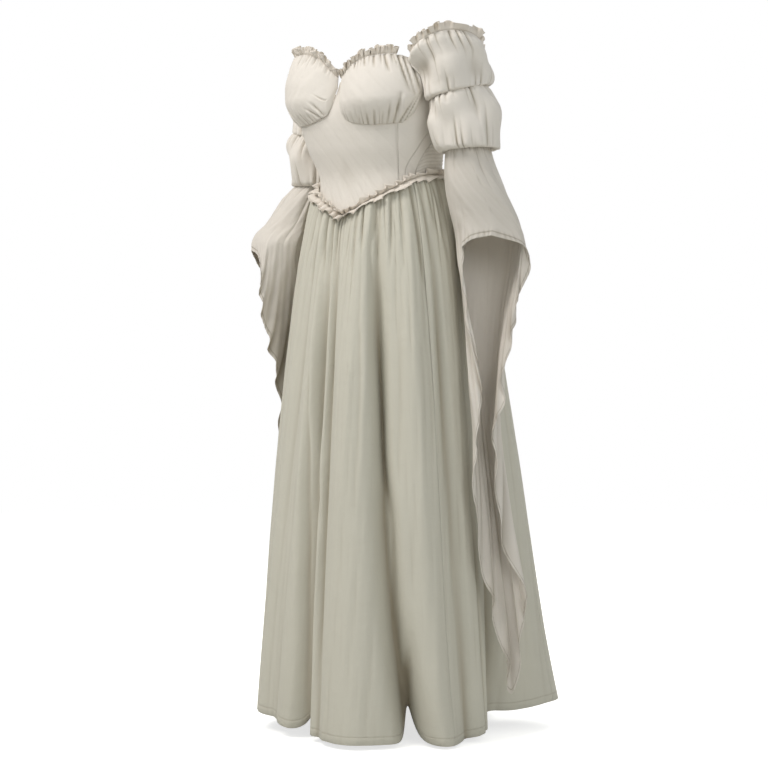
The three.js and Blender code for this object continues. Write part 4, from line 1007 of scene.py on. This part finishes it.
def makeBells():
    made = []
    half = bellForm["columns"] / 2
    u = (np.arange(bellForm["columns"]) - half) / half
    turn = (180 * np.sign(u) * np.abs(u) ** 1.45)[:, None]
    v = (np.linspace(0, 1, bellForm["rows"]) ** 1.15)[None, :]
    for name, side, line, edge, topZ in (("left", 1, leftLine, leftHem, 44.8),
                                         ("right", -1, rightLine, rightHem, 4.8)):
        lineCurves = smoothTable("z across out radius", line)
        edgeCurves = smoothTable("turn across out z", edge)
        points = bellPoint(side, lineCurves, edgeCurves, topZ, turn, v)
        core = points[:, :20].mean((0, 1), keepdims=True) + 0 * points
        steps = np.linalg.norm(np.diff(points, axis=1), axis=-1)
        length = np.concatenate([np.zeros((len(u), 1)), np.cumsum(steps, 1)], 1)
        fromHem = length[:, -1:] - length
        hemSteps = np.linalg.norm(np.diff(points[:, -1], axis=0), axis=-1)
        along = np.concatenate([[0], np.cumsum(hemSteps)])[:, None]
        top = points[:, :25]
        sign = np.sign(np.sum(gridNormals(top, top.mean(0, keepdims=True), True)
                              * gridNormals(points, core, True)[:, :25]))
        normal = gridNormals(points, core, True) * sign
        detail = bellDetail(turn, v, fromHem, along, 2.0 + side)
        points = points + normal * (1.2 + detail)[..., None]
        core = points - normal * 10
        made.append(clothPiece(f"cloth_bell_{name}", points, 1.0, True, sleeveCotton, core))
    return made


made = makeBodice() + makeCups() + makeNeckFrills() + makeSkirt()
made = made + makeWaistFrill() + makePuffs() + makeBells()


def areaLight(name, place, aim, size, power, colour):
    lamp = bpy.data.lights.new(name, "AREA")
    lamp.shape = "RECTANGLE"
    lamp.size, lamp.size_y = size
    lamp.energy = power
    lamp.color = colour
    holder = bpy.data.objects.new(name, lamp)
    bpy.context.scene.collection.objects.link(holder)
    holder.location = place
    direction = np.array(aim, float) - np.array(place, float)
    flat = math.hypot(direction[0], direction[1])
    turn = math.atan2(direction[1], direction[0]) - math.pi / 2
    holder.rotation_euler = (math.atan2(flat, -direction[2]), 0, turn)
    return holder


def makeStudio():
    floorLook = {"radius": 7.0, "colour": (0.62, 0.62, 0.58), "drop": 0.002, "lift": 0.7}
    angle = np.linspace(0, 2 * math.pi, 96, endpoint=False)
    low = -1.064 - floorLook["drop"]
    ring = np.stack([np.cos(angle), np.sin(angle), 0 * angle], -1) * floorLook["radius"] + [0, 0, low]
    mesh = bpy.data.meshes.new("floor")
    mesh.from_pydata(ring.tolist(), [], [list(range(len(angle)))])
    floor = bpy.data.objects.new("floor", mesh)
    bpy.context.scene.collection.objects.link(floor)
    paint = bpy.data.materials.new("floorPaper")
    paint.use_nodes = True
    paper = paint.node_tree.nodes["Principled BSDF"]
    paper.inputs["Base Color"].default_value = (*floorLook["colour"], 1)
    paper.inputs["Roughness"].default_value = 0.9
    glow = paint.node_tree.nodes.new("ShaderNodeEmission")
    glow.inputs["Strength"].default_value = floorLook["lift"]
    seen = paint.node_tree.nodes.new("ShaderNodeLightPath")
    lifted = paint.node_tree.nodes.new("ShaderNodeMixShader")
    both = paint.node_tree.nodes.new("ShaderNodeAddShader")
    paint.node_tree.links.new(paper.outputs[0], both.inputs[0])
    paint.node_tree.links.new(glow.outputs[0], both.inputs[1])
    paint.node_tree.links.new(seen.outputs["Is Camera Ray"], lifted.inputs[0])
    paint.node_tree.links.new(paper.outputs[0], lifted.inputs[1])
    paint.node_tree.links.new(both.outputs[0], lifted.inputs[2])
    paint.node_tree.links.new(lifted.outputs[0], paint.node_tree.nodes["Material Output"].inputs[0])
    mesh.materials.append(paint)
    world = bpy.data.worlds.new("studio")
    world.use_nodes = True
    sky = world.node_tree.nodes["Background"]
    sky.inputs["Color"].default_value = (0.96, 0.98, 1.0, 1)
    sky.inputs["Strength"].default_value = 0.5
    paper = world.node_tree.nodes.new("ShaderNodeBackground")
    paper.inputs["Color"].default_value = (1, 1, 1, 1)
    paper.inputs["Strength"].default_value = 1.0
    seen = world.node_tree.nodes.new("ShaderNodeLightPath")
    either = world.node_tree.nodes.new("ShaderNodeMixShader")
    world.node_tree.links.new(seen.outputs["Is Camera Ray"], either.inputs[0])
    world.node_tree.links.new(sky.outputs[0], either.inputs[1])
    world.node_tree.links.new(paper.outputs[0], either.inputs[2])
    world.node_tree.links.new(either.outputs[0], world.node_tree.nodes["World Output"].inputs[0])
    bpy.context.scene.world = world
    bpy.context.scene.view_settings.view_transform = "Standard"
    areaLight("keyLight", (-0.7, -2.0, 2.1), (0, 0, 0.1), (1.4, 1.4), 66, (1.0, 0.965, 0.95))
    areaLight("sideLight", (3.2, -1.4, 0.9), (0.25, 0, 0), (1.6, 1.6), 27, (0.96, 0.98, 1.0))
    areaLight("backLight", (-1.4, 3.0, 1.6), (0, 0, -0.3), (2.0, 2.0), 80, (1.0, 1.0, 1.0))


def makeCamera():
    view = {"azimuth": 42, "distance": 4.0, "height": -0.396, "lens": 96.6, "shift": 0.0039}
    lens = bpy.data.cameras.new("camera")
    lens.lens = view["lens"]
    lens.sensor_width = 36
    lens.shift_x = view["shift"]
    camera = bpy.data.objects.new("camera", lens)
    bpy.context.scene.collection.objects.link(camera)
    turn = math.radians(view["azimuth"])
    camera.location = (view["distance"] * math.sin(turn), -view["distance"] * math.cos(turn), view["height"])
    camera.rotation_euler = (math.pi / 2, 0, turn)
    bpy.context.scene.camera = camera


makeStudio()
makeCamera()
print("studio and camera")
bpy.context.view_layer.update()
